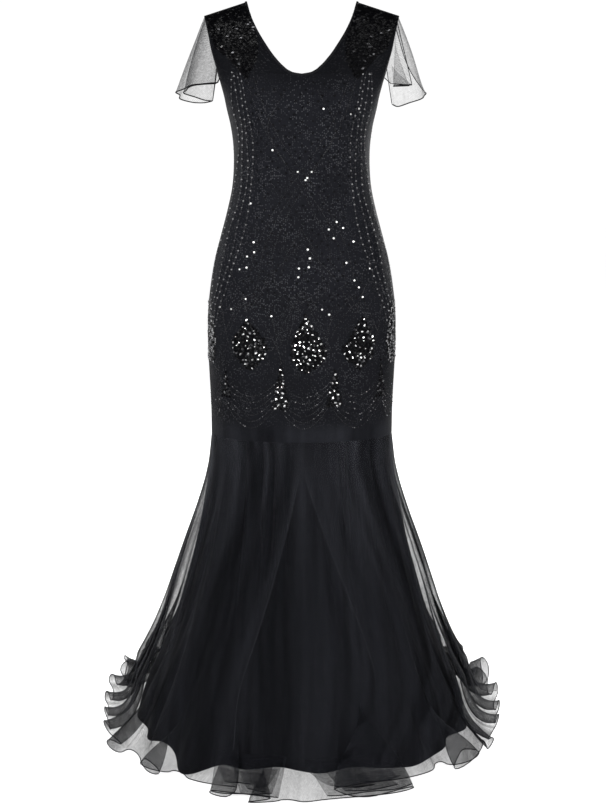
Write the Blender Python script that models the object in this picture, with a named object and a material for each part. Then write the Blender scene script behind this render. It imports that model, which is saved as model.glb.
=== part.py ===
# Evening gown held out as worn, with nobody inside: a beaded body with a V neck, flutter sleeves,
# an opaque lining skirt and a tulle overskirt with a centre front godet and a ruffled hem.
# Metres, +Z up, front towards -Y. Heights in the tables are above the floor; the frame's origin
# is the middle of the shoulder seams, where the wearer holds the gown up.
import math

import bmesh
import bpy
import numpy as np

SHOULDER_REST = 1.416
SEAM_GAP = 0.0003
BODY_CLOTH = 0.0014
LINING_CLOTH = 0.0012
TULLE = 0.0010
SLEEVE_TULLE = 0.0010
BINDING_WIDTH = 0.0042
BINDING_THICKNESS = 0.0010

# Body sections: height, half width at the side seams, depth to the front and to the back
BODY_SECTIONS = (
    (0.630, 0.1718, 0.1200, 0.1050),
    (0.680, 0.1722, 0.1185, 0.1080),
    (0.740, 0.1748, 0.1165, 0.1120),
    (0.800, 0.1772, 0.1140, 0.1170),
    (0.860, 0.1765, 0.1110, 0.1205),
    (0.910, 0.1712, 0.1070, 0.1195),
    (0.960, 0.1625, 0.1025, 0.1120),
    (1.010, 0.1492, 0.0985, 0.0995),
    (1.050, 0.1385, 0.0955, 0.0885),
    (1.095, 0.1289, 0.0950, 0.0805),
    (1.135, 0.1258, 0.0995, 0.0790),
    (1.170, 0.1264, 0.1075, 0.0825),
    (1.205, 0.1309, 0.1125, 0.0905),
    (1.238, 0.1385, 0.1110, 0.0985),
)
UNDERARM = 1.238
NECK_POINT_HEIGHT = 1.429
NECK_POINT = 0.100
SHOULDER_TIP_HEIGHT = 1.404
SHOULDER_TIP = 0.178
SECTION_ROUND = 0.93

# Bust cups worked into the front by its darts: centre, reach and fullness
CUP_CENTRE_X = 0.062
CUP_CENTRE_Z = 1.180
CUP_REACH_X = 0.040
CUP_REACH_Z = 0.052
CUP_FULLNESS = 0.009

# Above the underarm, by the share of the way up to the shoulder line: half width at the
# armhole, depth of the front and of the back, and how far each armhole edge leaves the side
UPPER_SECTIONS = (
    (0.000, 0.1385, 0.1110, 0.0985, 0.0000, 0.0000),
    (0.125, 0.1420, 0.1080, 0.1010, 0.0250, 0.0230),
    (0.220, 0.1460, 0.1040, 0.1020, 0.0360, 0.0340),
    (0.309, 0.1500, 0.0990, 0.1015, 0.0430, 0.0410),
    (0.400, 0.1540, 0.0930, 0.0990, 0.0475, 0.0460),
    (0.500, 0.1585, 0.0855, 0.0940, 0.0490, 0.0490),
    (0.600, 0.1630, 0.0765, 0.0865, 0.0475, 0.0490),
    (0.700, 0.1665, 0.0655, 0.0760, 0.0425, 0.0450),
    (0.790, 0.1695, 0.0535, 0.0635, 0.0360, 0.0385),
    (0.870, 0.1725, 0.0400, 0.0490, 0.0280, 0.0305),
    (0.935, 0.1750, 0.0260, 0.0330, 0.0190, 0.0205),
    (0.980, 0.1770, 0.0125, 0.0160, 0.0095, 0.0100),
    (1.000, 0.1780, 0.0000, 0.0000, 0.0000, 0.0000),
)
FRONT_V_ROW = 3
BACK_V_ROW = 1
HALF_COLUMNS = 9

# Neckline: share of the way from the V's point up to the shoulder, half width of the opening
FRONT_NECK = (
    (0.00, 0.000),
    (0.10, 0.029),
    (0.22, 0.046),
    (0.40, 0.064),
    (0.60, 0.080),
    (0.80, 0.092),
    (1.00, 0.100),
)
BACK_NECK = (
    (0.00, 0.000),
    (0.10, 0.036),
    (0.22, 0.057),
    (0.40, 0.079),
    (0.60, 0.094),
    (0.80, 0.101),
    (1.00, 0.100),
)

# Overskirt sections: height, half width, front, widest point and back along Y, roundness of
# the back half, large folds, hem ruffle waves, and how far each ruffle wave rolls over
OVERSKIRT_SECTIONS = (
    (0.630, 0.1718, -0.1200, 0.000, 0.105, 0.93, 0.0000, 0.0000, 0.000),
    (0.585, 0.1770, -0.1225, 0.003, 0.113, 0.93, 0.0006, 0.0000, 0.000),
    (0.580, 0.1776, -0.1228, 0.003, 0.114, 0.93, 0.0006, 0.0000, 0.000),
    (0.540, 0.1860, -0.1262, 0.007, 0.128, 0.93, 0.0012, 0.0000, 0.000),
    (0.480, 0.2040, -0.1330, 0.016, 0.153, 0.92, 0.0022, 0.0000, 0.000),
    (0.410, 0.2280, -0.1450, 0.032, 0.192, 0.91, 0.0036, 0.0002, 0.000),
    (0.340, 0.2510, -0.1610, 0.052, 0.238, 0.90, 0.0045, 0.0012, 0.000),
    (0.270, 0.2730, -0.1780, 0.072, 0.290, 0.88, 0.0048, 0.0035, 0.0005),
    (0.200, 0.2990, -0.1970, 0.096, 0.345, 0.86, 0.0040, 0.0075, 0.001),
    (0.140, 0.3250, -0.2170, 0.124, 0.395, 0.84, 0.0030, 0.0130, 0.002),
    (0.090, 0.3490, -0.2380, 0.148, 0.440, 0.83, 0.0020, 0.0185, 0.003),
    (0.045, 0.3700, -0.2590, 0.168, 0.478, 0.82, 0.0010, 0.0225, 0.0035),
    (0.010, 0.3850, -0.2760, 0.180, 0.508, 0.82, 0.0000, 0.0240, 0.004),
)
FRONT_ROUND = 0.92

# Godet seams: height, how far each lies from the centre front, to -X and to +X
GODET_SEAMS = (
    (0.580, 0.0015, 0.0015),
    (0.540, 0.0100, 0.0140),
    (0.480, 0.0230, 0.0350),
    (0.410, 0.0420, 0.0610),
    (0.340, 0.0620, 0.0890),
    (0.270, 0.0840, 0.1150),
    (0.200, 0.1070, 0.1390),
    (0.140, 0.1290, 0.1560),
    (0.090, 0.1470, 0.1670),
    (0.045, 0.1630, 0.1760),
    (0.010, 0.1750, 0.1840),
)

# Columns in each overskirt row: each half of the front beside the godet, the godet, the back
OVERSKIRT_COLUMNS = (
    (9, 0, 18),
    (12, 0, 24),
    (12, 1, 24),
    (12, 2, 24),
    (13, 4, 26),
    (15, 6, 32),
    (18, 8, 40),
    (24, 12, 54),
    (40, 24, 108),
    (44, 34, 116),
    (44, 34, 116),
    (44, 34, 116),
    (44, 34, 116),
)
HEM_WAVES = 36
LARGE_FOLDS = 14
HEM_LIFT = 0.030
HEM_LIFT_START = 0.200

# Lining sections: height, half width, front, widest point and back along Y, roundness, waves
LINING_SECTIONS = (
    (0.6292, 0.1698, -0.1180, 0.000, 0.103, 0.93, 0.0000),
    (0.585, 0.1735, -0.1186, 0.002, 0.1085, 0.93, 0.0002),
    (0.500, 0.1860, -0.1238, 0.006, 0.125, 0.93, 0.0009),
    (0.420, 0.2010, -0.1330, 0.012, 0.148, 0.93, 0.0018),
    (0.340, 0.2210, -0.1450, 0.024, 0.180, 0.92, 0.0030),
    (0.260, 0.2440, -0.1590, 0.042, 0.218, 0.92, 0.0040),
    (0.180, 0.2715, -0.1715, 0.060, 0.262, 0.92, 0.0050),
    (0.105, 0.2960, -0.1840, 0.076, 0.310, 0.91, 0.0070),
    (0.040, 0.3140, -0.1980, 0.086, 0.350, 0.89, 0.0100),
)
LINING_COLUMNS = (18, 20, 24, 28, 32, 40, 48, 56, 56)
LINING_WAVES = 16

# Sleeve hem: share of the way from its front end to its back end, then where it hangs
SLEEVE_HEM = (
    (0.00, 0.152, -0.053, 1.283),
    (0.14, 0.172, -0.073, 1.281),
    (0.30, 0.202, -0.071, 1.277),
    (0.44, 0.224, -0.038, 1.268),
    (0.54, 0.230, 0.000, 1.264),
    (0.66, 0.227, 0.034, 1.257),
    (0.80, 0.210, 0.064, 1.250),
    (0.92, 0.184, 0.066, 1.249),
    (1.00, 0.168, 0.058, 1.252),
)
SLEEVE_ROWS = (0.0, 0.22, 0.46, 0.72, 1.0)
SLEEVE_COLUMNS = (16, 18, 22, 26, 28)
SLEEVE_FRONT_END_ROW = 3
SLEEVE_BACK_END_ROW = 5
SLEEVE_FLUTES = 4.5
SLEEVE_FLUTE_DEPTH = 0.0055
SLEEVE_BULGE = 0.003


def clear_scene():
    for old in list(bpy.data.objects):
        bpy.data.objects.remove(old, do_unlink=True)


def column_of(table, column, key):
    """Value of a table's column at a key, rounded smoothly through the table's rows."""
    keys = np.array([row[0] for row in table])
    values = np.array([row[column] for row in table])
    if keys[0] > keys[-1]:
        keys = keys[::-1]
        values = values[::-1]
    slopes = np.gradient(values, keys)
    at = int(np.clip(np.searchsorted(keys, key) - 1, 0, len(keys) - 2))
    span = keys[at + 1] - keys[at]
    share = np.clip((key - keys[at]) / span, 0.0, 1.0)
    hold_start = 2 * share**3 - 3 * share**2 + 1
    lead_start = share**3 - 2 * share**2 + share
    hold_end = -2 * share**3 + 3 * share**2
    lead_end = share**3 - share**2
    return float(
        hold_start * values[at]
        + lead_start * span * slopes[at]
        + hold_end * values[at + 1]
        + lead_end * span * slopes[at + 1]
    )


def signed_power(value, power):
    return math.copysign(abs(value) ** power, value)


class Cloth:
    """Middle surface of several panels, which share their points along the seams."""

    def __init__(self):
        self.points = []
        self.faces = {}
        self.seams = []

    def add_row(self, places):
        first = len(self.points)
        self.points.extend(np.array(place, dtype=float) for place in places)
        return list(range(first, first + len(places)))

    def join_rows(self, panel, upper, lower):
        """Fills the strip between two rows of points, which may differ in count."""
        faces = self.faces.setdefault(panel, [])
        high = 0
        low = 0
        while high < len(upper) - 1 or low < len(lower) - 1:
            next_high = (high + 1) / max(len(upper) - 1, 1)
            next_low = (low + 1) / max(len(lower) - 1, 1)
            if len(upper) == len(lower):
                faces.append((upper[high], lower[low], lower[low + 1], upper[high + 1]))
                high += 1
                low += 1
            elif high < len(upper) - 1 and (low == len(lower) - 1 or next_high < next_low):
                faces.append((upper[high], lower[low], upper[high + 1]))
                high += 1
            else:
                faces.append((upper[high], lower[low], lower[low + 1]))
                low += 1

    def normals(self):
        points = np.array(self.points)
        total = np.zeros_like(points)
        for faces in self.faces.values():
            for face in faces:
                corners = points[list(face)]
                across = np.cross(corners[2] - corners[0], corners[-1] - corners[1])
                if len(face) == 3:
                    across = np.cross(corners[1] - corners[0], corners[2] - corners[0])
                total[list(face)] += across
        lengths = np.linalg.norm(total, axis=1, keepdims=True)
        return total / np.maximum(lengths, 1e-12)

    def seam_shift(self, panel, normals):
        """How far each seam point of a panel draws back, so that panels lie a gap apart."""
        points = np.array(self.points)
        around = {}
        for face in self.faces[panel]:
            middle = points[list(face)].mean(axis=0)
            for corner in face:
                around.setdefault(corner, []).append(middle)
        shift = np.zeros_like(points)
        for seam in self.seams:
            for place, point in enumerate(seam):
                if point not in around:
                    continue
                before = seam[max(place - 1, 0)]
                after = seam[min(place + 1, len(seam) - 1)]
                along = points[after] - points[before]
                along /= np.linalg.norm(along)
                inward = np.mean(around[point], axis=0) - points[point]
                inward -= normals[point] * inward.dot(normals[point])
                inward -= along * inward.dot(along)
                shift[point] += inward / np.linalg.norm(inward) * SEAM_GAP / 2
        return shift

    def panel(self, name):
        """Points, outward directions and faces of one panel, numbered for it alone."""
        normals = self.normals()
        places = np.array(self.points) + self.seam_shift(name, normals)
        used = sorted({corner for face in self.faces[name] for corner in face})
        renumber = {old: new for new, old in enumerate(used)}
        faces = [tuple(renumber[corner] for corner in face) for face in self.faces[name]]
        return places[used], normals[used], faces, renumber


def fabric(name, colour, roughness):
    material = bpy.data.materials.new(name)
    material.use_nodes = True
    shader = material.node_tree.nodes["Principled BSDF"]
    shader.inputs["Base Color"].default_value = (*colour, 1.0)
    shader.inputs["Roughness"].default_value = roughness
    shader.inputs["Metallic"].default_value = 0.0
    material.diffuse_color = (*colour, 1.0)
    return material


def add_object(name, points, faces, material):
    """One closed object in the shoulder frame, in triangles with outward faces."""
    lowered = [(p[0], p[1], p[2] - SHOULDER_REST) for p in points]
    mesh = bpy.data.meshes.new(name)
    mesh.from_pydata(lowered, [], faces)
    work = bmesh.new()
    work.from_mesh(mesh)
    bmesh.ops.triangulate(work, faces=work.faces)
    bmesh.ops.recalc_face_normals(work, faces=work.faces)
    work.to_mesh(mesh)
    work.free()
    mesh.materials.append(material)
    made = bpy.data.objects.new(name, mesh)
    bpy.context.scene.collection.objects.link(made)
    return made


def thicken(name, points, normals, faces, thickness, material):
    """Gives a panel's middle surface its cloth thickness, closed along every edge."""
    count = len(points)
    outer = points + normals * thickness / 2
    inner = points - normals * thickness / 2
    solid = [tuple(face) for face in faces]
    solid += [tuple(corner + count for corner in reversed(face)) for face in faces]
    edges = {}
    for face in faces:
        for start, end in zip(face, face[1:] + face[:1]):
            edges[(start, end)] = True
    for start, end in edges:
        if (end, start) not in edges:
            solid.append((end, start, start + count, end + count))
    return add_object(name, np.vstack([outer, inner]), solid, material)


def cup(x, z):
    """Extra depth of the bust cups at a place on the front."""
    sideways = (abs(x) - CUP_CENTRE_X) / CUP_REACH_X
    upwards = (z - CUP_CENTRE_Z) / CUP_REACH_Z
    return CUP_FULLNESS * math.exp(-(sideways**2) - upwards**2)


def body_point(turn, height, side):
    """Point of the body below the underarm; turn runs from -1 to 1 across the front or back."""
    angle = turn * math.pi / 2
    half = column_of(BODY_SECTIONS, 1, height)
    depth = column_of(BODY_SECTIONS, 2 if side == "front" else 3, height)
    x = half * signed_power(math.sin(angle), SECTION_ROUND)
    y = depth * abs(math.cos(angle)) ** SECTION_ROUND
    if side == "front":
        return (x, -y - cup(x, height) * math.cos(angle), height)
    return (-x, y, height)


def shoulder_height(x):
    drop = (NECK_POINT_HEIGHT - SHOULDER_TIP_HEIGHT) / (SHOULDER_TIP - NECK_POINT)
    return NECK_POINT_HEIGHT - drop * max(abs(x) - NECK_POINT, 0.0)


def upper_row(row, side):
    """Points of one row above the underarm, as two halves from one armhole to the other."""
    share, half, front, back, front_edge, back_edge = UPPER_SECTIONS[row]
    depth, edge = (front, front_edge) if side == "front" else (back, back_edge)
    v_row = FRONT_V_ROW if side == "front" else BACK_V_ROW
    neck_table = FRONT_NECK if side == "front" else BACK_NECK
    v_share = UPPER_SECTIONS[v_row][0]
    opening = 0.0
    if row > v_row:
        opening = column_of(neck_table, 1, (share - v_share) / (1.0 - v_share))
    start = math.asin(min(opening / half, 1.0) ** (1 / SECTION_ROUND))
    halves = []
    for direction in (-1, 1):
        places = []
        for column in range(HALF_COLUMNS + 1):
            angle = start + (math.pi / 2 - start) * column / HALF_COLUMNS
            x = half * math.sin(angle) ** SECTION_ROUND
            y = edge + (depth - edge) * abs(math.cos(angle)) ** SECTION_ROUND
            z = UNDERARM + (shoulder_height(x) - UNDERARM) * share
            if side == "front":
                y += cup(x, z) * math.cos(angle) * (1 - share)
                places.append((direction * x, -y, z))
            else:
                places.append((-direction * x, y, z))
        halves.append(places[::-1] if direction < 0 else places)
    return halves


def build_body(cloth):
    """Front and back panels from the thigh to the shoulders, and the rows others sew on to."""
    heights = [row[0] for row in BODY_SECTIONS]
    turns = np.linspace(-1.0, 1.0, 2 * HALF_COLUMNS + 1)
    side_seams = {-1: [], 1: []}
    shared = {}
    edges = {}
    for side in ("front", "back"):
        panel = "body_" + side
        rows = []
        for height in heights:
            places = [body_point(turn, height, side) for turn in turns]
            if side == "front":
                rows.append(cloth.add_row(places))
                side_seams[-1].append(rows[-1][0])
                side_seams[1].append(rows[-1][-1])
            else:
                level = len(rows)
                inner = cloth.add_row(places[1:-1])
                rows.append([side_seams[1][level]] + inner + [side_seams[-1][level]])
        for below, above in zip(rows, rows[1:]):
            cloth.join_rows(panel, above, below)
        v_row = FRONT_V_ROW if side == "front" else BACK_V_ROW
        last = rows[-1]
        first_half = last[: HALF_COLUMNS + 1]
        second_half = last[HALF_COLUMNS:]
        armholes = ([first_half[0]], [second_half[-1]])
        neckline = ([], [])
        for row in range(1, len(UPPER_SECTIONS)):
            places = upper_row(row, side)
            if side == "back" and row == len(UPPER_SECTIONS) - 1:
                new_first, new_second = shared["right_shoulder"], shared["left_shoulder"]
            elif row <= v_row:
                whole = cloth.add_row(places[0] + places[1][1:])
                new_first = whole[: HALF_COLUMNS + 1]
                new_second = whole[HALF_COLUMNS:]
            else:
                new_first = cloth.add_row(places[0])
                new_second = cloth.add_row(places[1])
            cloth.join_rows(panel, new_first, first_half)
            cloth.join_rows(panel, new_second, second_half)
            first_half, second_half = new_first, new_second
            armholes[0].append(first_half[0])
            armholes[1].append(second_half[-1])
            if row >= v_row:
                neckline[0].append(first_half[-1])
                neckline[1].append(second_half[0])
        if side == "front":
            shared["left_shoulder"] = first_half[::-1]
            shared["right_shoulder"] = second_half[::-1]
            cloth.seams += [first_half, second_half]
        edges[side] = {"hem": rows[0], "armholes": armholes, "neckline": neckline}
    cloth.seams += [side_seams[-1], side_seams[1]]
    return edges


def base_curve(table, angle, height):
    """Plain section of a skirt, without its folds."""
    in_front = math.cos(angle) >= 0
    half = column_of(table, 1, height)
    middle = column_of(table, 3, height)
    reach = column_of(table, 2 if in_front else 4, height) - middle
    roundness = column_of(table, 5, height)
    if in_front and table is OVERSKIRT_SECTIONS:
        roundness = FRONT_ROUND
    x = half * signed_power(math.sin(angle), roundness)
    y = middle + reach * abs(math.cos(angle)) ** roundness
    return np.array((x, y, height))


def outward(table, angle, height):
    step = 0.02
    along = base_curve(table, angle + step, height) - base_curve(table, angle - step, height)
    along /= np.linalg.norm(along)
    return np.array((along[1], -along[0], 0.0)), along


def unevenness(angle, seed):
    """Slow change round the skirt, so that no two folds are alike."""
    return (
        1.0
        + 0.22 * math.sin(3 * angle + seed)
        + 0.16 * math.sin(7 * angle + 2.3 * seed)
        + 0.10 * math.sin(11 * angle + 0.7 * seed)
    )


def overskirt_point(angle, height):
    fold = column_of(OVERSKIRT_SECTIONS, 6, height)
    wave = column_of(OVERSKIRT_SECTIONS, 7, height)
    roll = column_of(OVERSKIRT_SECTIONS, 8, height)
    out, along = outward(OVERSKIRT_SECTIONS, angle, height)
    phase = HEM_WAVES * angle + 0.8 * math.sin(4 * angle + 0.6) + 0.5 * math.sin(9 * angle)
    fold_phase = LARGE_FOLDS * angle + 0.7 * math.sin(3 * angle + 1.1)
    size = unevenness(angle, 1.3)
    place = base_curve(OVERSKIRT_SECTIONS, angle, height)
    place = place + out * (fold * math.sin(fold_phase) + wave * size * math.sin(phase))
    place = place - along * roll * math.sin(2 * phase + 0.3)
    near_hem = max(1 - height / HEM_LIFT_START, 0.0) ** 2
    rise = HEM_LIFT * near_hem * (0.5 - 0.5 * math.sin(phase + 0.7)) * unevenness(angle, 4.1)
    place[2] += max(rise, 0.0)
    return place


def godet_angle(row, side):
    """Angle at which a godet seam crosses an overskirt row."""
    height = OVERSKIRT_SECTIONS[row][0]
    reach = column_of(GODET_SEAMS, 1 if side < 0 else 2, height)
    half = column_of(OVERSKIRT_SECTIONS, 1, height)
    return side * math.asin((reach / half) ** (1 / FRONT_ROUND))


def build_overskirt(cloth, body_edges):
    """Overskirt front with its slit, godet and overskirt back, hung from the body's lower edge."""
    front_top = body_edges["front"]["hem"]
    back_top = body_edges["back"]["hem"]
    side_seams = {-1: [front_top[0]], 1: [front_top[-1]]}
    godet_seams = {-1: [], 1: []}
    left = front_top[: HALF_COLUMNS + 1]
    right = front_top[HALF_COLUMNS:]
    godet = []
    back = back_top
    for row in range(1, len(OVERSKIRT_SECTIONS)):
        height = OVERSKIRT_SECTIONS[row][0]
        half_count, godet_count, back_count = OVERSKIRT_COLUMNS[row]
        open_row = godet_count > 0
        left_end = godet_angle(row, -1) if open_row else 0.0
        right_end = godet_angle(row, 1) if open_row else 0.0
        left_angles = np.linspace(-math.pi / 2, left_end, half_count + 1)
        right_angles = np.linspace(right_end, math.pi / 2, half_count + 1)
        back_angles = np.linspace(math.pi / 2, 3 * math.pi / 2, back_count + 1)
        new_left = cloth.add_row([overskirt_point(a, height) for a in left_angles])
        if open_row:
            new_right = cloth.add_row([overskirt_point(a, height) for a in right_angles])
            inner_angles = np.linspace(left_end, right_end, godet_count + 1)[1:-1]
            inner = cloth.add_row([overskirt_point(a, height) for a in inner_angles])
            new_godet = [new_left[-1]] + inner + [new_right[0]]
            if godet:
                cloth.join_rows("godet_front", godet, new_godet)
            godet_seams[-1].append(new_left[-1])
            godet_seams[1].append(new_right[0])
            godet = new_godet
        else:
            rest = cloth.add_row([overskirt_point(a, height) for a in right_angles[1:]])
            new_right = [new_left[-1]] + rest
        inner = cloth.add_row([overskirt_point(a, height) for a in back_angles[1:-1]])
        new_back = [new_right[-1]] + inner + [new_left[0]]
        cloth.join_rows("overskirt_front", left, new_left)
        cloth.join_rows("overskirt_front", right, new_right)
        cloth.join_rows("overskirt_back", back, new_back)
        left, right, back = new_left, new_right, new_back
        side_seams[-1].append(new_left[0])
        side_seams[1].append(new_right[-1])
    cloth.seams += [side_seams[-1], side_seams[1], godet_seams[-1], godet_seams[1]]
    cloth.seams.append(front_top + back_top[1:])


def lining_point(angle, height):
    wave = column_of(LINING_SECTIONS, 6, height)
    out = outward(LINING_SECTIONS, angle, height)[0]
    phase = LINING_WAVES * angle + 0.9 * math.sin(3 * angle + 0.4)
    place = base_curve(LINING_SECTIONS, angle, height)
    return place + out * wave * unevenness(angle, 2.7) * math.sin(phase)


def build_lining(cloth):
    """Lining skirt, front and back, just inside the overskirt."""
    side_seams = {-1: [], 1: []}
    front = []
    back = []
    for section, count in zip(LINING_SECTIONS, LINING_COLUMNS):
        height = section[0]
        front_angles = np.linspace(-math.pi / 2, math.pi / 2, count + 1)
        back_angles = np.linspace(math.pi / 2, 3 * math.pi / 2, count + 1)
        new_front = cloth.add_row([lining_point(a, height) for a in front_angles])
        inner = cloth.add_row([lining_point(a, height) for a in back_angles[1:-1]])
        new_back = [new_front[-1]] + inner + [new_front[0]]
        if front:
            cloth.join_rows("lining_front", front, new_front)
            cloth.join_rows("lining_back", back, new_back)
        front, back = new_front, new_back
        side_seams[-1].append(new_front[0])
        side_seams[1].append(new_front[-1])
    cloth.seams += [side_seams[-1], side_seams[1]]


def build_sleeve(cloth, body_edges, side):
    """Flutter sleeve sewn to the upper armhole, front end to back end over the shoulder."""
    place = 1 if side > 0 else 0
    front_edge = body_edges["front"]["armholes"][place]
    back_edge = body_edges["back"]["armholes"][1 - place]
    seam = front_edge[SLEEVE_FRONT_END_ROW:] + back_edge[SLEEVE_BACK_END_ROW:-1][::-1]
    top = np.array([cloth.points[point] for point in seam])
    lengths = np.concatenate([[0.0], np.cumsum(np.linalg.norm(np.diff(top, axis=0), axis=1))])
    shares = lengths / lengths[-1]
    rows = [seam if side > 0 else seam[::-1]]
    for share_down, count in zip(SLEEVE_ROWS[1:], SLEEVE_COLUMNS[1:]):
        places = []
        for share in np.linspace(0.0, 1.0, count + 1):
            start = np.array([np.interp(share, shares, top[:, axis]) for axis in range(3)])
            end = np.array([column_of(SLEEVE_HEM, axis + 1, share) for axis in range(3)])
            end[0] *= side
            point = start + (end - start) * share_down
            swell = SLEEVE_BULGE * math.sin(math.pi * share_down) * math.sin(math.pi * share)
            flute = math.sin(2 * math.pi * SLEEVE_FLUTES * share + 0.8 * side)
            swell += SLEEVE_FLUTE_DEPTH * share_down**1.5 * flute * math.sin(math.pi * share)
            away = np.array((side * 0.6, math.sin((share - 0.5) * math.pi), 0.0))
            places.append(point + swell * away / np.linalg.norm(away))
        rows.append(cloth.add_row(places if side > 0 else places[::-1]))
    panel = "sleeve_left" if side > 0 else "sleeve_right"
    for upper, lower in zip(rows, rows[1:]):
        cloth.join_rows(panel, upper, lower)
    cloth.seams.append(seam)


def add_binding(name, panel, neckline, body_cloth, material):
    """Narrow strip round a neckline, made from the panel's edge points and laid on it."""
    places, normals, faces, renumber = panel
    path = neckline[0][::-1] + neckline[1][1:]
    beside = {}
    for face in faces:
        for corner in face:
            beside.setdefault(corner, set()).update(face)
    edge = [renumber[point] for point in path]
    rings = []
    for order, point in enumerate(edge):
        before = places[edge[max(order - 1, 0)]]
        after = places[edge[min(order + 1, len(edge) - 1)]]
        along = (after - before) / np.linalg.norm(after - before)
        normal = normals[point]
        inward = np.mean([places[near] for near in beside[point]], axis=0) - places[point]
        inward -= normal * inward.dot(normal)
        inward -= along * inward.dot(along)
        inward /= np.linalg.norm(inward)
        low = places[point] + normal * (body_cloth / 2 + SEAM_GAP)
        high = low + normal * BINDING_THICKNESS
        across = inward * BINDING_WIDTH
        rings.append([low, high, high + across, low + across])
    points = np.array([corner for ring in rings for corner in ring])
    solid = [(0, 1, 2, 3)]
    for ring in range(len(rings) - 1):
        base = 4 * ring
        for corner in range(4):
            turn = (corner + 1) % 4
            solid.append((base + corner, base + 4 + corner, base + 4 + turn, base + turn))
    last = 4 * (len(rings) - 1)
    solid.append((last + 3, last + 2, last + 1, last))
    return add_object(name, points, solid, material)


def main():
    clear_scene()
    beaded = fabric("beaded_net", (0.018, 0.018, 0.023), 0.62)
    lining = fabric("lining_satin", (0.020, 0.021, 0.027), 0.70)
    tulle = fabric("tulle", (0.030, 0.031, 0.038), 0.85)
    binding = fabric("binding", (0.010, 0.010, 0.013), 0.55)

    shell = Cloth()
    edges = build_body(shell)
    build_sleeve(shell, edges, 1)
    build_sleeve(shell, edges, -1)
    build_overskirt(shell, edges)
    plan = (
        ("body_front", BODY_CLOTH, beaded),
        ("body_back", BODY_CLOTH, beaded),
        ("sleeve_right", SLEEVE_TULLE, tulle),
        ("sleeve_left", SLEEVE_TULLE, tulle),
        ("overskirt_front", TULLE, tulle),
        ("overskirt_back", TULLE, tulle),
        ("godet_front", TULLE, tulle),
    )
    for name, thickness, material in plan:
        panel = shell.panel(name)
        thicken(name, *panel[:3], thickness, material)
        if name.startswith("body_"):
            side = name.removeprefix("body_")
            add_binding("neck_binding_" + side, panel, edges[side]["neckline"], BODY_CLOTH, binding)

    skirt = Cloth()
    build_lining(skirt)
    for name in ("lining_front", "lining_back"):
        thicken(name, *skirt.panel(name)[:3], LINING_CLOTH, lining)


main()
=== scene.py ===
"""Black beaded evening gown with flutter sleeves and a tulle skirt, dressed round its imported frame."""

import sys
import logging
import math
from dataclasses import dataclass, field
from enum import Enum

import bpy
import numpy as np
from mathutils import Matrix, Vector
from mathutils.bvhtree import BVHTree


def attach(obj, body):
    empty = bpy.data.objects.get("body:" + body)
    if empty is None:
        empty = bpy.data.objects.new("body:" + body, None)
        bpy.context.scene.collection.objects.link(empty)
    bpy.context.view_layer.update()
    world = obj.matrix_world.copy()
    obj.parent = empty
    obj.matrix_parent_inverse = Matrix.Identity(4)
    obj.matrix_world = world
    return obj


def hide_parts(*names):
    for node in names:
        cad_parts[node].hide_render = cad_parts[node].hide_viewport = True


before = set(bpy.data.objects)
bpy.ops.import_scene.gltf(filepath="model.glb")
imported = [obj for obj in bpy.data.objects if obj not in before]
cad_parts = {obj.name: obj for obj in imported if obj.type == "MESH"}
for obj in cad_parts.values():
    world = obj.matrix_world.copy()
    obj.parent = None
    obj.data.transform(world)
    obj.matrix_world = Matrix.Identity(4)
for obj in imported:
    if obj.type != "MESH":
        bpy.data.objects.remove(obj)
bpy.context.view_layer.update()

LOG = logging.getLogger("gown")
QUARTER_TURN = math.pi / 2
FULL_TURN = math.tau
# heights above the floor: the frame's origin, the body's lower edge, the godet's top, the tulle's hem
REST = 1.416
BODY_HEM = 0.630
GODET_TOP = 0.580
SKIRT_HEM = 0.010

Array = np.ndarray
Colour = tuple[float, float, float]
Path = tuple[tuple[float, float], ...]
Piece = bpy.types.Object
Material = bpy.types.Material
Tree = bpy.types.NodeTree
Node = bpy.types.Node
Socket = bpy.types.NodeSocket
Random = np.random.Generator


class Side(Enum):
    """Which half of the gown a panel belongs to."""

    FRONT = "front"
    BACK = "back"


class Hand(Enum):
    """Which arm a sleeve is for, and the way it points along X."""

    RIGHT = -1
    LEFT = 1


# Tables and small sums


@dataclass(frozen=True)
class Profile:
    """A short table whose first column is the key, read as smooth curves."""

    rows: tuple[tuple[float, ...], ...]

    def at(self, column: int, keys: Array | float) -> Array:
        """Reads one column at any keys, rounded through the rows.

        Args:
            column: Place of the column in a row.
            keys: Where to read it.

        Returns:
            The values, in the shape of the keys.
        """
        table = np.array(self.rows, dtype=float)
        table = table[np.argsort(table[:, 0])]
        known, values = table[:, 0], table[:, column]
        slopes = np.gradient(values, known)
        keys = np.asarray(keys, dtype=float)
        place = np.clip(np.searchsorted(known, keys) - 1, 0, len(known) - 2)
        span = known[place + 1] - known[place]
        share = np.clip((keys - known[place]) / span, 0.0, 1.0)
        hold_start = 2 * share**3 - 3 * share**2 + 1
        lead_start = share**3 - 2 * share**2 + share
        lead_end = share**3 - share**2
        return (
            hold_start * values[place]
            + lead_start * span * slopes[place]
            + (1 - hold_start) * values[place + 1]
            + lead_end * span * slopes[place + 1]
        )


def signed_power(value: Array, power: Array | float) -> Array:
    """Raises the size of a value to a power and keeps its sign."""
    return np.sign(value) * np.abs(value) ** power


def smooth_step(value: Array | float) -> Array:
    """Soft ramp from 0 to 1."""
    share = np.clip(value, 0.0, 1.0)
    return share * share * (3 - 2 * share)


def unit(vectors: Array) -> Array:
    """Vectors shortened to length 1."""
    return vectors / np.maximum(np.linalg.norm(vectors, axis=-1, keepdims=True), 1e-12)


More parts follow.
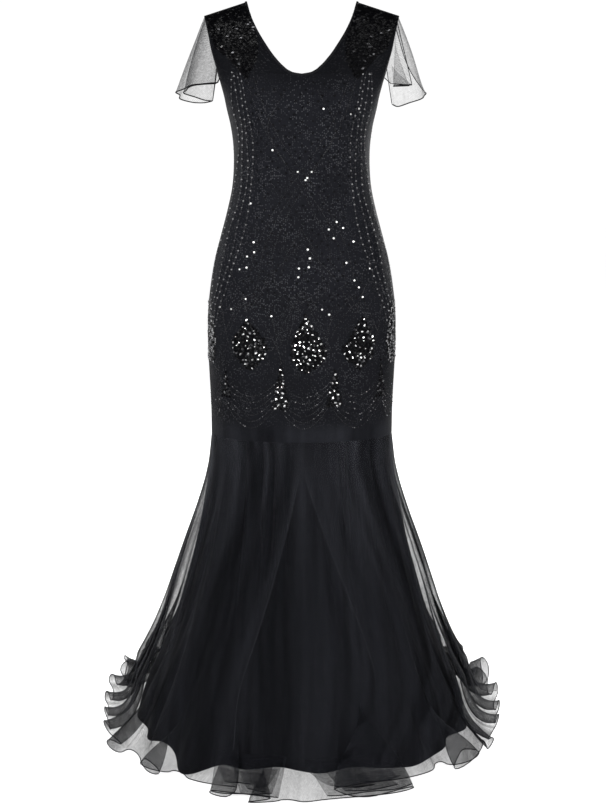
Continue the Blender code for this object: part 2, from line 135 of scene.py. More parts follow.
def unevenness(angle: Array, seed: float) -> Array:
    """Slow change round the skirt, so that no two folds are alike.

    Args:
        angle: Angle round the skirt.
        seed: Which of several changes it is.

    Returns:
        A factor near 1.
    """
    return (
        1.0
        + 0.22 * np.sin(3 * angle + seed)
        + 0.16 * np.sin(7 * angle + 2.3 * seed)
        + 0.10 * np.sin(11 * angle + 0.7 * seed)
    )


def wrapped(angle: Array) -> Array:
    """The same angle between minus and plus half a turn."""
    return (angle + math.pi) % FULL_TURN - math.pi


def smooth_path(points: Array, pitch: float) -> Array:
    """Rounds a coarse line and spaces points evenly along it.

    Args:
        points: The line's own points, in two or three axes.
        pitch: Distance between the new points.

    Returns:
        The new points.
    """
    points = np.asarray(points, dtype=float)
    ends = np.vstack([2 * points[0] - points[1], points, 2 * points[-1] - points[-2]])
    share = np.linspace(0, 1, 24, endpoint=False)[:, None]
    pieces = []
    for a, b, c, d in zip(ends, ends[1:], ends[2:], ends[3:]):
        pieces.append(
            0.5
            * (
                2 * b
                + (c - a) * share
                + (2 * a - 5 * b + 4 * c - d) * share**2
                + (3 * b - a - 3 * c + d) * share**3
            )
        )
    fine = np.vstack([*pieces, points[-1:]])
    reach = np.concatenate([[0], np.cumsum(np.linalg.norm(np.diff(fine, axis=0), axis=1))])
    places = np.linspace(0, reach[-1], max(int(round(reach[-1] / pitch)), 1) + 1)
    return np.stack([np.interp(places, reach, fine[:, axis]) for axis in range(fine.shape[1])], 1)


def inside(points: Array, outline: Path) -> Array:
    """Tells which points lie in a closed outline.

    Args:
        points: Places, one row each.
        outline: Corners of the outline in order.

    Returns:
        True for each place inside.
    """
    corners = np.array(outline)
    found = np.zeros(len(points), dtype=bool)
    for start, end in zip(corners, np.roll(corners, -1, axis=0)):
        crosses = (start[1] > points[:, 1]) != (end[1] > points[:, 1])
        rise = end[1] - start[1] if end[1] != start[1] else 1e-12
        where = start[0] + (points[:, 1] - start[1]) / rise * (end[0] - start[0])
        found ^= crosses & (points[:, 0] < where)
    return found


# Meshes


def add_mesh(
    name: str,
    points: Array,
    faces: Array | list,
    material: Material,
    flat: Array | None = None,
    crisp: float = 50.0,
    smooth: bool = True,
) -> Piece:
    """Makes one object from heights above the floor, lowered to the shoulder frame.

    Args:
        name: Name of the piece.
        points: Its points, with Z as height above the floor.
        faces: Its faces, as a list where they differ in their number of corners.
        material: Its finish.
        flat: Each point's place on the flat cloth in metres, for the weave.
        crisp: Edges that turn by more than this many degrees stay sharp.
        smooth: Whether the faces are shaded as one curved surface.

    Returns:
        The new object.
    """
    lowered = np.array(points, dtype=float)
    lowered[:, 2] -= REST
    mesh = bpy.data.meshes.new(name)
    mesh.from_pydata(lowered.tolist(), [], faces.tolist() if isinstance(faces, np.ndarray) else faces)
    mesh.materials.append(material)
    if flat is not None:
        layer = mesh.uv_layers.new(name="flat")
        corners = np.empty(len(mesh.loops), dtype=np.int64)
        mesh.loops.foreach_get("vertex_index", corners)
        layer.data.foreach_set("uv", np.asarray(flat, dtype=np.float32)[corners].ravel())
    mesh.polygons.foreach_set("use_smooth", [smooth] * len(mesh.polygons))
    if smooth:
        mesh.set_sharp_from_angle(angle=math.radians(crisp))
    mesh.update()
    made = bpy.data.objects.new(name, mesh)
    bpy.context.scene.collection.objects.link(made)
    return made


def ring_faces(count: int, sides: int) -> Array:
    """Faces between rings of points that are numbered ring by ring.

    Args:
        count: How many rings there are.
        sides: Points in each ring.

    Returns:
        Four-sided faces.
    """
    number = np.arange(count * sides).reshape(count, sides)
    after = np.roll(number, -1, axis=1)
    return np.stack([number[:-1], after[:-1], after[1:], number[1:]], axis=-1).reshape(-1, 4)


def tube(path: Array, radius: float, sides: int = 6) -> tuple[Array, Array]:
    """Round cord of thread or rolled cloth along a path.

    Args:
        path: Points of its middle line.
        radius: Half its thickness.
        sides: Faces round it.

    Returns:
        Points and four-sided faces, drawn in at both ends.
    """
    along = unit(np.gradient(path, axis=0))
    reference = np.where(np.abs(along[:, 2:3]) > 0.9, (1.0, 0.0, 0.0), (0.0, 0.0, 1.0))
    first = unit(np.cross(along, reference))
    second = np.cross(along, first)
    turn = np.linspace(0, FULL_TURN, sides, endpoint=False)
    girth = np.full(len(path), radius)
    girth[[0, -1]] = radius * 0.35
    ring = (
        path[:, None]
        + girth[:, None, None] * np.cos(turn)[None, :, None] * first[:, None]
        + girth[:, None, None] * np.sin(turn)[None, :, None] * second[:, None]
    )
    return ring.reshape(-1, 3), ring_faces(len(path), sides)


def join_parts(parts: list[tuple[Array, Array]]) -> tuple[Array, Array]:
    """Puts several sets of points and faces into one.

    Args:
        parts: Points and faces of each.

    Returns:
        All points, and all faces numbered to match.
    """
    points, faces, start = [], [], 0
    for some_points, some_faces in parts:
        points.append(some_points)
        faces.append(np.asarray(some_faces) + start)
        start += len(some_points)
    return np.vstack(points), np.vstack(faces)


class Cloth:
    """Middle surface of several panels that share their points along the seams."""

    def __init__(self) -> None:
        """Starts with no cloth."""
        self.blocks: list[Array] = []
        self.count = 0
        self.faces: dict[str, list[Array]] = {}
        self.flats: dict[str, list[tuple[Array, Array]]] = {}
        self.points = np.empty((0, 3))
        self.normals = np.empty((0, 3))

    def add(self, grid: Array) -> Array:
        """Adds points and gives their numbers in the grid's own shape.

        Args:
            grid: The points, in rows and columns.

        Returns:
            Their numbers, in the same rows and columns.
        """
        shape = grid.shape[:-1]
        flat = grid.reshape(-1, 3)
        self.blocks.append(flat)
        numbers = np.arange(self.count, self.count + len(flat)).reshape(shape)
        self.count += len(flat)
        return numbers

    def fill(self, panel: str, numbers: Array, flat: Array, turned: bool = False) -> None:
        """Spans a grid of point numbers with faces.

        Args:
            panel: Panel that the faces belong to.
            numbers: Grid of point numbers, the top row first.
            flat: Each point's place on the flat cloth in metres.
            turned: Whether the faces are turned over.
        """
        upper, lower = numbers[:-1], numbers[1:]
        faces = np.stack([upper[:, :-1], lower[:, :-1], lower[:, 1:], upper[:, 1:]], axis=-1)
        faces = faces.reshape(-1, 4)
        self.faces.setdefault(panel, []).append(faces[:, ::-1] if turned else faces)
        self.flats.setdefault(panel, []).append((numbers.ravel(), flat.reshape(-1, 2)))

    def places(self, numbers: Array) -> Array:
        """Points by their numbers, while the cloth is still being made."""
        return np.vstack(self.blocks)[numbers]

    def close(self) -> None:
        """Works out every point's outward direction once all panels are in."""
        self.points = np.vstack(self.blocks)
        total = np.zeros_like(self.points)
        for groups in self.faces.values():
            for faces in groups:
                corner = self.points[faces]
                across = np.cross(corner[:, 2] - corner[:, 0], corner[:, 3] - corner[:, 1])
                for place in range(4):
                    np.add.at(total, faces[:, place], across)
        self.normals = unit(total)

    def panel(self, name: str) -> tuple[Array, Array, Array, Array]:
        """Takes one panel out of the closed cloth.

        Args:
            name: The panel.

        Returns:
            Its points, directions, faces and flat places, numbered for it alone.
        """
        faces = np.vstack(self.faces[name])
        used, inverse = np.unique(faces, return_inverse=True)
        flat = np.zeros((self.count, 2))
        for numbers, places in self.flats[name]:
            flat[numbers] = places
        return self.points[used], self.normals[used], inverse.reshape(faces.shape), flat[used]

    def solid(self, name: str, thickness: float) -> tuple[Array, Array, Array]:
        """Closed thin cloth of one panel.

        Args:
            name: The panel.
            thickness: How thick its cloth is.

        Returns:
            Points, faces and flat places.
        """
        points, normals, faces, flat = self.panel(name)
        count = len(points)
        half = normals * thickness / 2
        edges = np.concatenate([faces[:, [i, (i + 1) % 4]] for i in range(4)])
        keys = edges[:, 0] * count + edges[:, 1]
        back = edges[:, 1] * count + edges[:, 0]
        rim = edges[~np.isin(keys, back)]
        rim = np.stack([rim[:, 1], rim[:, 0], rim[:, 0] + count, rim[:, 1] + count], axis=1)
        both = np.vstack([faces, faces[:, ::-1] + count, rim])
        return np.vstack([points + half, points - half]), both, np.vstack([flat, flat])


def flat_places(grid: Array, middle: int | None = None) -> Array:
    """Lays a grid of cloth points out flat, by lengths along its rows and columns.

    Args:
        grid: Points in rows and columns.
        middle: Column that the rows are measured from, or the middle one.

    Returns:
        Two lengths in metres for each point.
    """
    steps = np.linalg.norm(np.diff(grid, axis=1), axis=2)
    across = np.concatenate([np.zeros((len(grid), 1)), np.cumsum(steps, axis=1)], axis=1)
    centre = grid.shape[1] // 2 if middle is None else middle
    across -= across[:, centre : centre + 1]
    falls = np.linalg.norm(np.diff(grid, axis=0), axis=2).mean(axis=1)
    down = np.concatenate([[0.0], np.cumsum(falls)])
    return np.stack([across, np.repeat(-down[:, None], grid.shape[1], axis=1)], axis=-1)


# Forms of the gown


@dataclass(frozen=True)
class Crease:
    """A soft trough in the cloth between two places, in the panel's X and height."""

    start: tuple[float, float]
    end: tuple[float, float]
    width: float
    depth: float

    def shift(self, x: Array, height: Array) -> Array:
        """How far the crease moves the cloth in at each place.

        Args:
            x: Place along X.
            height: Height above the floor.

        Returns:
            The shift in metres, below 0 for inwards.
        """
        start, end = np.array(self.start), np.array(self.end)
        run = end - start
        share = ((x - start[0]) * run[0] + (height - start[1]) * run[1]) / run.dot(run)
        held = np.clip(share, 0, 1)
        bow = 0.10 * np.linalg.norm(run) * np.sin(math.pi * held)
        off = np.hypot(x - start[0] - held * run[0], height - start[1] - held * run[1] + bow)
        ratio = (off / self.width) ** 2
        fade = smooth_step(1.15 - np.abs(2 * share - 1))
        return -self.depth * (1 - 0.9 * ratio) * np.exp(-ratio) * fade


@dataclass(frozen=True)
class Fold:
    """A soft fold down the skirt: where it starts, ends, how wide, deep and slanted."""

    angle: float
    top: float
    bottom: float
    width: float
    depth: float
    drift: float = 0.0

    def shift(self, angle: Array, height: Array) -> Array:
        """How far the fold moves the cloth out at each place, in metres.

        Args:
            angle: Angle round the skirt, 0 at the centre front.
            height: Height above the floor.

        Returns:
            The shift in metres.
        """
        share = (self.top - height) / (self.top - self.bottom)
        middle = math.radians(self.angle) + math.radians(self.drift) * share
        off = wrapped(angle - middle)
        ratio = (off / math.radians(self.width)) ** 2
        fade = smooth_step(share * 3.2) * smooth_step((1 - share) * 2.2)
        return self.depth * (1 - 1.1 * ratio) * np.exp(-ratio) * fade


# the large folds, listed round both skirts and the body's lower part
FOLDS = (
    Fold(-38, 0.71, 0.16, 3.6, -0.0060, 6),
    Fold(-31, 0.69, 0.10, 3.0, 0.0044, 5),
    Fold(-25, 0.71, 0.20, 2.8, -0.0056, 6),
    Fold(-17, 0.71, 0.22, 2.6, -0.0056, 3),
    Fold(-10, 0.68, 0.14, 3.4, 0.0040, -6),
    Fold(-5.5, 0.70, 0.30, 2.2, -0.0046, -2),
    Fold(7, 0.60, 0.16, 3.2, -0.0044, 12),
    Fold(14, 0.56, 0.12, 3.4, 0.0040, 8),
    Fold(22, 0.72, 0.14, 2.8, -0.0062, 4),
    Fold(30, 0.72, 0.24, 3.0, -0.0058, -3),
    Fold(36, 0.62, 0.18, 3.4, 0.0036, 8),
    Fold(46, 0.70, 0.30, 3.2, -0.0046, 10),
    Fold(-50, 0.60, 0.20, 4.0, 0.0040, -4),
    Fold(-60, 0.58, 0.14, 4.0, -0.0046, -6),
    Fold(62, 0.60, 0.16, 4.0, 0.0040, 5),
    Fold(74, 0.56, 0.12, 4.0, -0.0050, 4),
    Fold(-76, 0.56, 0.12, 4.0, 0.0040, -4),
    Fold(100, 0.62, 0.12, 4.4, -0.0056, 3),
    Fold(116, 0.64, 0.10, 4.6, 0.0050, -4),
    Fold(131, 0.60, 0.16, 4.0, -0.0052, 5),
    Fold(147, 0.66, 0.12, 4.2, -0.0056, -3),
    Fold(163, 0.62, 0.14, 4.4, 0.0048, 4),
    Fold(178, 0.64, 0.10, 4.0, -0.0060, -2),
    Fold(193, 0.60, 0.18, 4.2, 0.0050, 3),
    Fold(207, 0.66, 0.12, 4.4, -0.0054, 5),
    Fold(223, 0.62, 0.14, 4.2, 0.0048, -5),
    Fold(239, 0.60, 0.12, 4.0, -0.0056, 3),
    Fold(254, 0.58, 0.16, 4.4, 0.0046, 4),
)


def hand_folds(angle: Array, height: Array) -> Array:
    """Total shift of the listed folds."""
    return sum(fold.shift(angle, height) for fold in FOLDS)


@dataclass
class BodyForm:
    """Shape of the beaded body from the thigh to the shoulders."""

    # height, half width at the side seams, depth to the front and to the back
    sections: Profile = Profile((
        (0.630, 0.1718, 0.1200, 0.1050),
        (0.680, 0.1722, 0.1185, 0.1080),
        (0.740, 0.1748, 0.1165, 0.1120),
        (0.800, 0.1772, 0.1140, 0.1170),
        (0.860, 0.1765, 0.1110, 0.1205),
        (0.910, 0.1712, 0.1070, 0.1195),
        (0.960, 0.1625, 0.1025, 0.1120),
        (1.010, 0.1492, 0.0985, 0.0995),
        (1.050, 0.1385, 0.0955, 0.0885),
        (1.095, 0.1289, 0.0950, 0.0805),
        (1.135, 0.1258, 0.0995, 0.0790),
        (1.170, 0.1264, 0.1075, 0.0825),
        (1.205, 0.1309, 0.1125, 0.0905),
        (1.238, 0.1385, 0.1110, 0.0985),
    ))
    # share of the way up, half width at the armhole, front and back depth, their armhole edges
    upper: Profile = Profile((
        (0.000, 0.1385, 0.1110, 0.0985, 0.0000, 0.0000),
        (0.125, 0.1420, 0.1080, 0.1010, 0.0250, 0.0230),
        (0.220, 0.1460, 0.1040, 0.1020, 0.0360, 0.0340),
        (0.309, 0.1500, 0.0990, 0.1015, 0.0430, 0.0410),
        (0.400, 0.1540, 0.0930, 0.0990, 0.0475, 0.0460),
        (0.500, 0.1585, 0.0855, 0.0940, 0.0490, 0.0490),
        (0.600, 0.1630, 0.0765, 0.0865, 0.0475, 0.0490),
        (0.700, 0.1665, 0.0655, 0.0760, 0.0425, 0.0450),
        (0.790, 0.1695, 0.0535, 0.0635, 0.0360, 0.0385),
        (0.870, 0.1725, 0.0400, 0.0490, 0.0280, 0.0305),
        (0.935, 0.1750, 0.0260, 0.0330, 0.0190, 0.0205),
        (0.980, 0.1770, 0.0125, 0.0160, 0.0095, 0.0100),
        (1.000, 0.1780, 0.0000, 0.0000, 0.0000, 0.0000),
    ))
    # share of the way from the V's point to the shoulder, half width of the opening
    front_neck: Profile = Profile((
        (0.00, 0.000), (0.015, 0.0125), (0.045, 0.0225), (0.10, 0.0320), (0.22, 0.0470), (0.40, 0.064),
        (0.60, 0.080), (0.80, 0.092), (1.00, 0.100),
    ))
    back_neck: Profile = Profile((
        (0.00, 0.000), (0.10, 0.036), (0.22, 0.057), (0.40, 0.079),
        (0.60, 0.094), (0.80, 0.101), (1.00, 0.100),
    ))
    front_v: float = 0.309
    back_v: float = 0.125
    underarm: float = 1.238
    hem: float = BODY_HEM
    neck_point: tuple[float, float] = (0.100, 1.429)
    shoulder_tip: tuple[float, float] = (0.178, 1.404)
    roundness: float = 0.93
    cup_centre: tuple[float, float] = (0.062, 1.180)
    cup_reach: tuple[float, float] = (0.040, 0.052)
    cup_fullness: float = 0.009
    front_creases: tuple[Crease, ...] = (
        Crease((-0.132, 1.232), (-0.092, 1.196), 0.0080, 0.0016),
        Crease((0.133, 1.228), (0.090, 1.188), 0.0085, 0.0018),
        Crease((-0.126, 1.118), (-0.060, 1.108), 0.0065, 0.0013),
        Crease((-0.124, 1.088), (-0.072, 1.084), 0.0060, 0.0010),
        Crease((0.127, 1.104), (0.066, 1.097), 0.0070, 0.0014),
        Crease((0.126, 1.074), (0.082, 1.066), 0.0060, 0.0011),
        Crease((-0.148, 1.012), (-0.098, 0.996), 0.0080, 0.0012),
        Crease((0.150, 0.998), (0.104, 0.986), 0.0075, 0.0013),
        Crease((-0.040, 1.236), (0.030, 1.230), 0.0100, 0.0007),
        Crease((-0.172, 0.742), (-0.120, 0.728), 0.0090, 0.0013),
        Crease((0.172, 0.728), (0.126, 0.716), 0.0085, 0.0012),
        Crease((-0.150, 1.372), (-0.118, 1.322), 0.0080, 0.0012),
        Crease((0.152, 1.366), (0.122, 1.314), 0.0080, 0.0013),
    )
    back_creases: tuple[Crease, ...] = (
        Crease((-0.128, 1.150), (-0.040, 1.140), 0.0070, 0.0014),
        Crease((0.128, 1.142), (0.030, 1.131), 0.0075, 0.0016),
        Crease((-0.126, 1.108), (-0.052, 1.100), 0.0065, 0.0013),
        Crease((0.126, 1.100), (0.046, 1.092), 0.0065, 0.0014),
        Crease((-0.060, 1.072), (0.070, 1.068), 0.0075, 0.0012),
        Crease((-0.134, 1.232), (-0.088, 1.206), 0.0080, 0.0015),
        Crease((0.134, 1.236), (0.092, 1.212), 0.0080, 0.0014),
        Crease((-0.156, 0.800), (-0.070, 0.778), 0.0110, 0.0016),
        Crease((0.154, 0.790), (0.062, 0.772), 0.0110, 0.0015),
        Crease((-0.148, 1.360), (-0.120, 1.300), 0.0080, 0.0012),
        Crease((0.150, 1.352), (0.122, 1.292), 0.0080, 0.0012),
    )

    def v_share(self, side: Side) -> float:
        """Share of the way up at which the side's V begins."""
        return self.front_v if side is Side.FRONT else self.back_v

    def half_width(self, height: Array) -> Array:
        """Half width of the body at heights up to the underarm."""
        return self.sections.at(1, np.minimum(height, self.underarm))

    def cup(self, x: Array, height: Array) -> Array:
        """Extra depth of the bust cups.

        Args:
            x: Place along X.
            height: Height above the floor.

        Returns:
            The depth in metres.
        """
        across = (np.abs(x) - self.cup_centre[0]) / self.cup_reach[0]
        up = (height - self.cup_centre[1]) / self.cup_reach[1]
        return self.cup_fullness * np.exp(-(across**2) - up**2)

    def crease(self, x: Array, height: Array, side: Side) -> Array:
        """Total shift of the listed creases."""
        creases = self.front_creases if side is Side.FRONT else self.back_creases
        return sum(one.shift(x, height) for one in creases)

    def shoulder_height(self, x: Array) -> Array:
        """Height of the shoulder line."""
        drop = (self.neck_point[1] - self.shoulder_tip[1]) / (
            self.shoulder_tip[0] - self.neck_point[0]
        )
        return self.neck_point[1] - drop * np.maximum(np.abs(x) - self.neck_point[0], 0.0)

    def below(self, turn: Array, height: Array, side: Side) -> Array:
        """Points below the underarm.

        Args:
            turn: Place round the panel, from -1 to 1 along X.
            height: Height above the floor.
            side: Front or back.

        Returns:
            Points, in the broadcast shape of turn and height.
        """
        angle = turn * QUARTER_TURN
        cosine = np.abs(np.cos(angle))
        depth = self.sections.at(2 if side is Side.FRONT else 3, height)
        x = self.sections.at(1, height) * signed_power(np.sin(angle), self.roundness)
        y = depth * cosine**self.roundness + self.crease(x, height, side) * np.sqrt(cosine)
        front = side is Side.FRONT
        fold = hand_folds(angle if front else math.pi - angle, height)
        x = x + fold * np.sin(angle)
        y = y + fold * np.cos(angle)
        if front:
            return np.stack([x, -y - self.cup(x, height) * cosine, height + 0 * x], -1)
        return np.stack([x, y, height + 0 * x], -1)

    def above(self, spread: Array, share: Array, side: Side, way: int) -> Array:
        """Points above the underarm.

        Args:
            spread: From 0 at the neckline or centre to 1 at the armhole.
            share: Share of the way up to the shoulder line.
            side: Front or back.
            way: -1 or 1 along X.

        Returns:
            Points, in the broadcast shape of spread and share.
        """
        front = side is Side.FRONT
        v_share = self.v_share(side)
        neck = self.front_neck if front else self.back_neck
        half = self.upper.at(1, share)
        depth = self.upper.at(2 if front else 3, share)
        edge = self.upper.at(4 if front else 5, share)
        rise = np.maximum(share - v_share, 0.0) / (1 - v_share)
        opening = np.where(share > v_share, np.maximum(neck.at(1, rise), 0.0), 0.0)
        start = np.arcsin(np.minimum(opening / half, 1.0) ** (1 / self.roundness))
        angle = start + (QUARTER_TURN - start) * spread
        x = half * np.sin(angle) ** self.roundness
        cosine = np.abs(np.cos(angle))
        height = self.underarm + (self.shoulder_height(x) - self.underarm) * share
        y = edge + (depth - edge) * cosine**self.roundness
        y = y + self.crease(way * x, height, side) * np.sqrt(cosine) * (1 - share) ** 0.3
        if front:
            y = -y - self.cup(x, height) * cosine * (1 - share)
        return np.stack([way * x, y, height], -1)

    def armhole(self, share: Array, side: Side, way: int) -> Array:
        """Points of the armhole edge."""
        return self.above(np.ones_like(share), share, side, way)


@dataclass(frozen=True)
class Overlap:
    """A place where the tulle doubles back on itself, deeper towards the hem.

    Its middle angle, width and drift are in degrees, its top is a height, its strength is how far
    the cloth doubles back, and its lift is how far the upper layer stands off, or the lower one
    where it is negative.
    """

    angle: float
    width: float
    top: float
    lift: float
    strength: float = 2.2
    drift: float = 0.0
    foot: float = SKIRT_HEM

    def shift(self, angle: Array, height: Array) -> tuple[Array, Array]:
        """How far the cloth turns round the skirt, and how far it moves out.

        Args:
            angle: Angle round the skirt, 0 at the centre front.
            height: Height above the floor.

        Returns:
            The turn in radians and the shift in metres.
        """
        ramp = smooth_step((self.top - height) / (self.top - self.foot))
        middle = math.radians(self.angle) + math.radians(self.drift) * ramp
        off = wrapped(angle - middle)
        width = math.radians(self.width)
        share = off / width
        bell = share * np.maximum(1 - (share / 2.4) ** 2, 0.0) ** 2 * ramp
        return -self.strength * width * bell, 1.65 * self.lift * bell


OVERLAPS = (
    Overlap(-19, 3.7, 0.20, -0.008, 3.0),
    Overlap(-9.3, 1.8, 0.07, 0.005, 3.4),
    Overlap(18, 6.6, 0.22, 0.009, 3.9),
    Overlap(46, 3.4, 0.14, -0.008, 2.8, 2),
    Overlap(-41, 3.2, 0.12, 0.008, 2.8, -2),
    Overlap(61, 4.0, 0.42, 0.009, 2.4),
    Overlap(-63, 3.4, 0.18, -0.008, 2.4),
    Overlap(104, 4.0, 0.20, -0.009, 2.6, 2),
    Overlap(-108, 4.2, 0.22, 0.009, 2.6, -2),
    Overlap(128, 4.6, 0.16, 0.009, 2.6),
    Overlap(151, 5.0, 0.30, -0.010, 2.6, -3),
    Overlap(176, 4.0, 0.18, 0.009, 2.6, 2),
    Overlap(-160, 4.6, 0.26, -0.010, 2.6, 3),
    Overlap(-136, 4.4, 0.17, 0.009, 2.6),
)


@dataclass
class SkirtForm:
    """Shape that both skirts share: a plain section round each height, then their folds."""

    sections: Profile
    front_roundness: float | None = None
    step: float = 0.02

    def base(self, angle: Array, height: Array) -> Array:
        """Plain section without folds.

        Args:
            angle: Angle round the skirt, 0 at the centre front.
            height: Height above the floor.

        Returns:
            Points, in the broadcast shape of both.
        """
        in_front = np.cos(angle) >= 0
        middle = self.sections.at(3, height)
        ends = np.where(in_front, self.sections.at(2, height), self.sections.at(4, height))
        roundness = self.sections.at(5, height)
        if self.front_roundness is not None:
            roundness = np.where(in_front, self.front_roundness, roundness)
        x = self.sections.at(1, height) * signed_power(np.sin(angle), roundness)
        y = middle + (ends - middle) * np.abs(np.cos(angle)) ** roundness
        return np.stack([x, y, height + 0 * x], -1)

    def outward(self, angle: Array, height: Array) -> tuple[Array, Array]:
        """Level directions out of the skirt and along it.

        Args:
            angle: Angle round the skirt.
            height: Height above the floor.

        Returns:
            The two directions.
        """
        along = unit(self.base(angle + self.step, height) - self.base(angle - self.step, height))
        out = np.stack([along[..., 1], -along[..., 0], 0 * along[..., 0]], -1)
        return out, along


@dataclass
class OverskirtForm(SkirtForm):
    """Shape of the tulle overskirt and its godet."""

    # height, half width, front, widest point and back along Y, roundness, folds, waves, roll
    sections: Profile = Profile((
        (0.630, 0.1718, -0.1200, 0.000, 0.105, 0.93, 0.0000, 0.0000, 0.000),
        (0.585, 0.1770, -0.1225, 0.003, 0.113, 0.93, 0.0006, 0.0000, 0.000),
        (0.580, 0.1776, -0.1228, 0.003, 0.114, 0.93, 0.0006, 0.0000, 0.000),
        (0.540, 0.1860, -0.1262, 0.007, 0.128, 0.93, 0.0012, 0.0000, 0.000),
        (0.480, 0.2040, -0.1330, 0.016, 0.153, 0.92, 0.0022, 0.0000, 0.000),
        (0.410, 0.2280, -0.1450, 0.032, 0.192, 0.91, 0.0036, 0.0002, 0.000),
        (0.340, 0.2510, -0.1610, 0.052, 0.238, 0.90, 0.0045, 0.0012, 0.001),
        (0.270, 0.2730, -0.1780, 0.072, 0.290, 0.88, 0.0048, 0.0035, 0.003),
        (0.200, 0.2990, -0.1970, 0.096, 0.345, 0.86, 0.0040, 0.0075, 0.006),
        (0.140, 0.3250, -0.2170, 0.124, 0.395, 0.84, 0.0030, 0.0130, 0.009),
        (0.090, 0.3490, -0.2380, 0.148, 0.440, 0.83, 0.0020, 0.0185, 0.011),
        (0.045, 0.3700, -0.2590, 0.168, 0.478, 0.82, 0.0010, 0.0225, 0.012),
        (0.010, 0.3850, -0.2760, 0.180, 0.508, 0.82, 0.0000, 0.0240, 0.012),
    ))
    front_roundness: float | None = 0.92
    # height, how far each godet seam lies from the centre front, to -X and to +X
    godet_seams: Profile = Profile((
        (0.580, 0.0015, 0.0015),
        (0.540, 0.0100, 0.0140),
        (0.480, 0.0230, 0.0350),
        (0.410, 0.0420, 0.0610),
        (0.340, 0.0620, 0.0890),
        (0.270, 0.0840, 0.1150),
        (0.200, 0.1070, 0.1390),
        (0.140, 0.1290, 0.1560),
        (0.090, 0.1470, 0.1670),
        (0.045, 0.1630, 0.1760),
        (0.010, 0.1750, 0.1840),
    ))
    apex: float = GODET_TOP
    # where the ruffle starts and where the hem spreads, in degrees from the centre front, and their spans
    ruffle_ramp: tuple[float, float] = (30.0, 34.0)
    spread_ramp: tuple[float, float] = (46.0, 32.0)
    waves: int = 36
    large_folds: int = 14
    hem_lift: float = 0.030
    lift_start: float = 0.200
    spread_top: float = 0.130
    spread_foot: float = 0.017
    spread_power: float = 2.8
    spread_reach: float = 0.014
    spread_tilt: float = 72.0
    front_kick: float = 0.020
    left_raise: float = 0.022
    right_raise: float = 0.028
    front_ripple: float = 0.0016
    front_sink: float = 0.0045

    @staticmethod
    def past(angle: Array, start: float, span: float) -> Array:
        """Soft ramp that begins at some degrees from the centre front."""
        return smooth_step((np.abs(wrapped(angle)) - math.radians(start)) / math.radians(span))

    def point(self, angle: Array, height: Array) -> Array:
        """Points of the overskirt with its folds, overlaps and hem ruffle.

        Args:
            angle: Angle round the skirt, 0 at the centre front.
            height: Height above the floor that the cloth has before its hem spreads.

        Returns:
            Points, in the broadcast shape of both.
        """
        angle, height = np.broadcast_arrays(angle, height)
        turns, lifts = zip(*(overlap.shift(angle, height) for overlap in OVERLAPS))
        placed = angle + sum(turns)
        ruffled = self.past(angle, *self.ruffle_ramp)
        spread = self.past(angle, *self.spread_ramp)
        share = np.clip((self.spread_top - height) / (self.spread_top - SKIRT_HEM), 0, 1)
        laid = spread * smooth_step(share / 0.65)
        phase = self.waves * angle + 0.8 * np.sin(4 * angle + 0.6) + 0.5 * np.sin(9 * angle)
        fold_phase = self.large_folds * angle + 0.7 * np.sin(3 * angle + 1.1)
        out, along = self.outward(placed, height)
        tilt = laid * math.radians(self.spread_tilt)
        rise = np.stack([0 * tilt, 0 * tilt, np.ones_like(tilt)], -1)
        off = out * np.cos(tilt)[..., None] + rise * np.sin(tilt)[..., None]
        size = unevenness(angle, 1.3) * (0.16 + (0.84 - 0.30 * spread) * ruffled)
        shift = self.sections.at(7, height) * size * (np.sin(phase) + laid)
        shift = shift + self.sections.at(6, height) * np.sin(fold_phase)
        shift = shift + hand_folds(angle, height) + sum(lifts)
        rolled = self.sections.at(8, height) * np.sin(2 * phase + 0.3) * (0.15 + 0.85 * ruffled)
        moved = self.spread_reach * spread * share**2 + self.front_kick * share**2 * (1 - spread)
        place = self.base(placed, height) + off * shift[..., None]
        place = place - along * rolled[..., None] + out * moved[..., None]
        settled = self.settled(height, spread, share)
        place[..., 2] += settled + self.lifted(angle, height, phase, ruffled) * (1 - spread)
        place[..., 2] += self.front_hem(angle, share, ruffled, spread)
        return place

    def settled(self, height: Array, spread: Array, share: Array) -> Array:
        """How far the spread hem rises where it lies down on the floor.

        Args:
            height: Height that the cloth has before.
            spread: How much it spreads there, from 0 to 1.
            share: Share of the way down to the hem.

        Returns:
            The rise in metres.
        """
        flat = self.spread_foot + (self.spread_top - self.spread_foot) * (1 - share) ** self.spread_power
        return np.where(height < self.spread_top, spread * (flat - height), 0.0)

    def lifted(self, angle: Array, height: Array, phase: Array, ruffled: Array) -> Array:
        """How far the ruffle's waves stand off the floor.

        Args:
            angle: Angle round the skirt.
            height: Height that the cloth has before.
            phase: Phase of the waves.
            ruffled: How much the hem is ruffled there, from 0 to 1.

        Returns:
            The rise in metres.
        """
        near_hem = np.maximum(1 - height / self.lift_start, 0.0) ** 2
        lift = self.hem_lift * near_hem * (0.5 - 0.5 * np.sin(phase + 0.7))
        return np.maximum(lift * unevenness(angle, 4.1), 0.0) * (0.12 + 0.88 * ruffled)

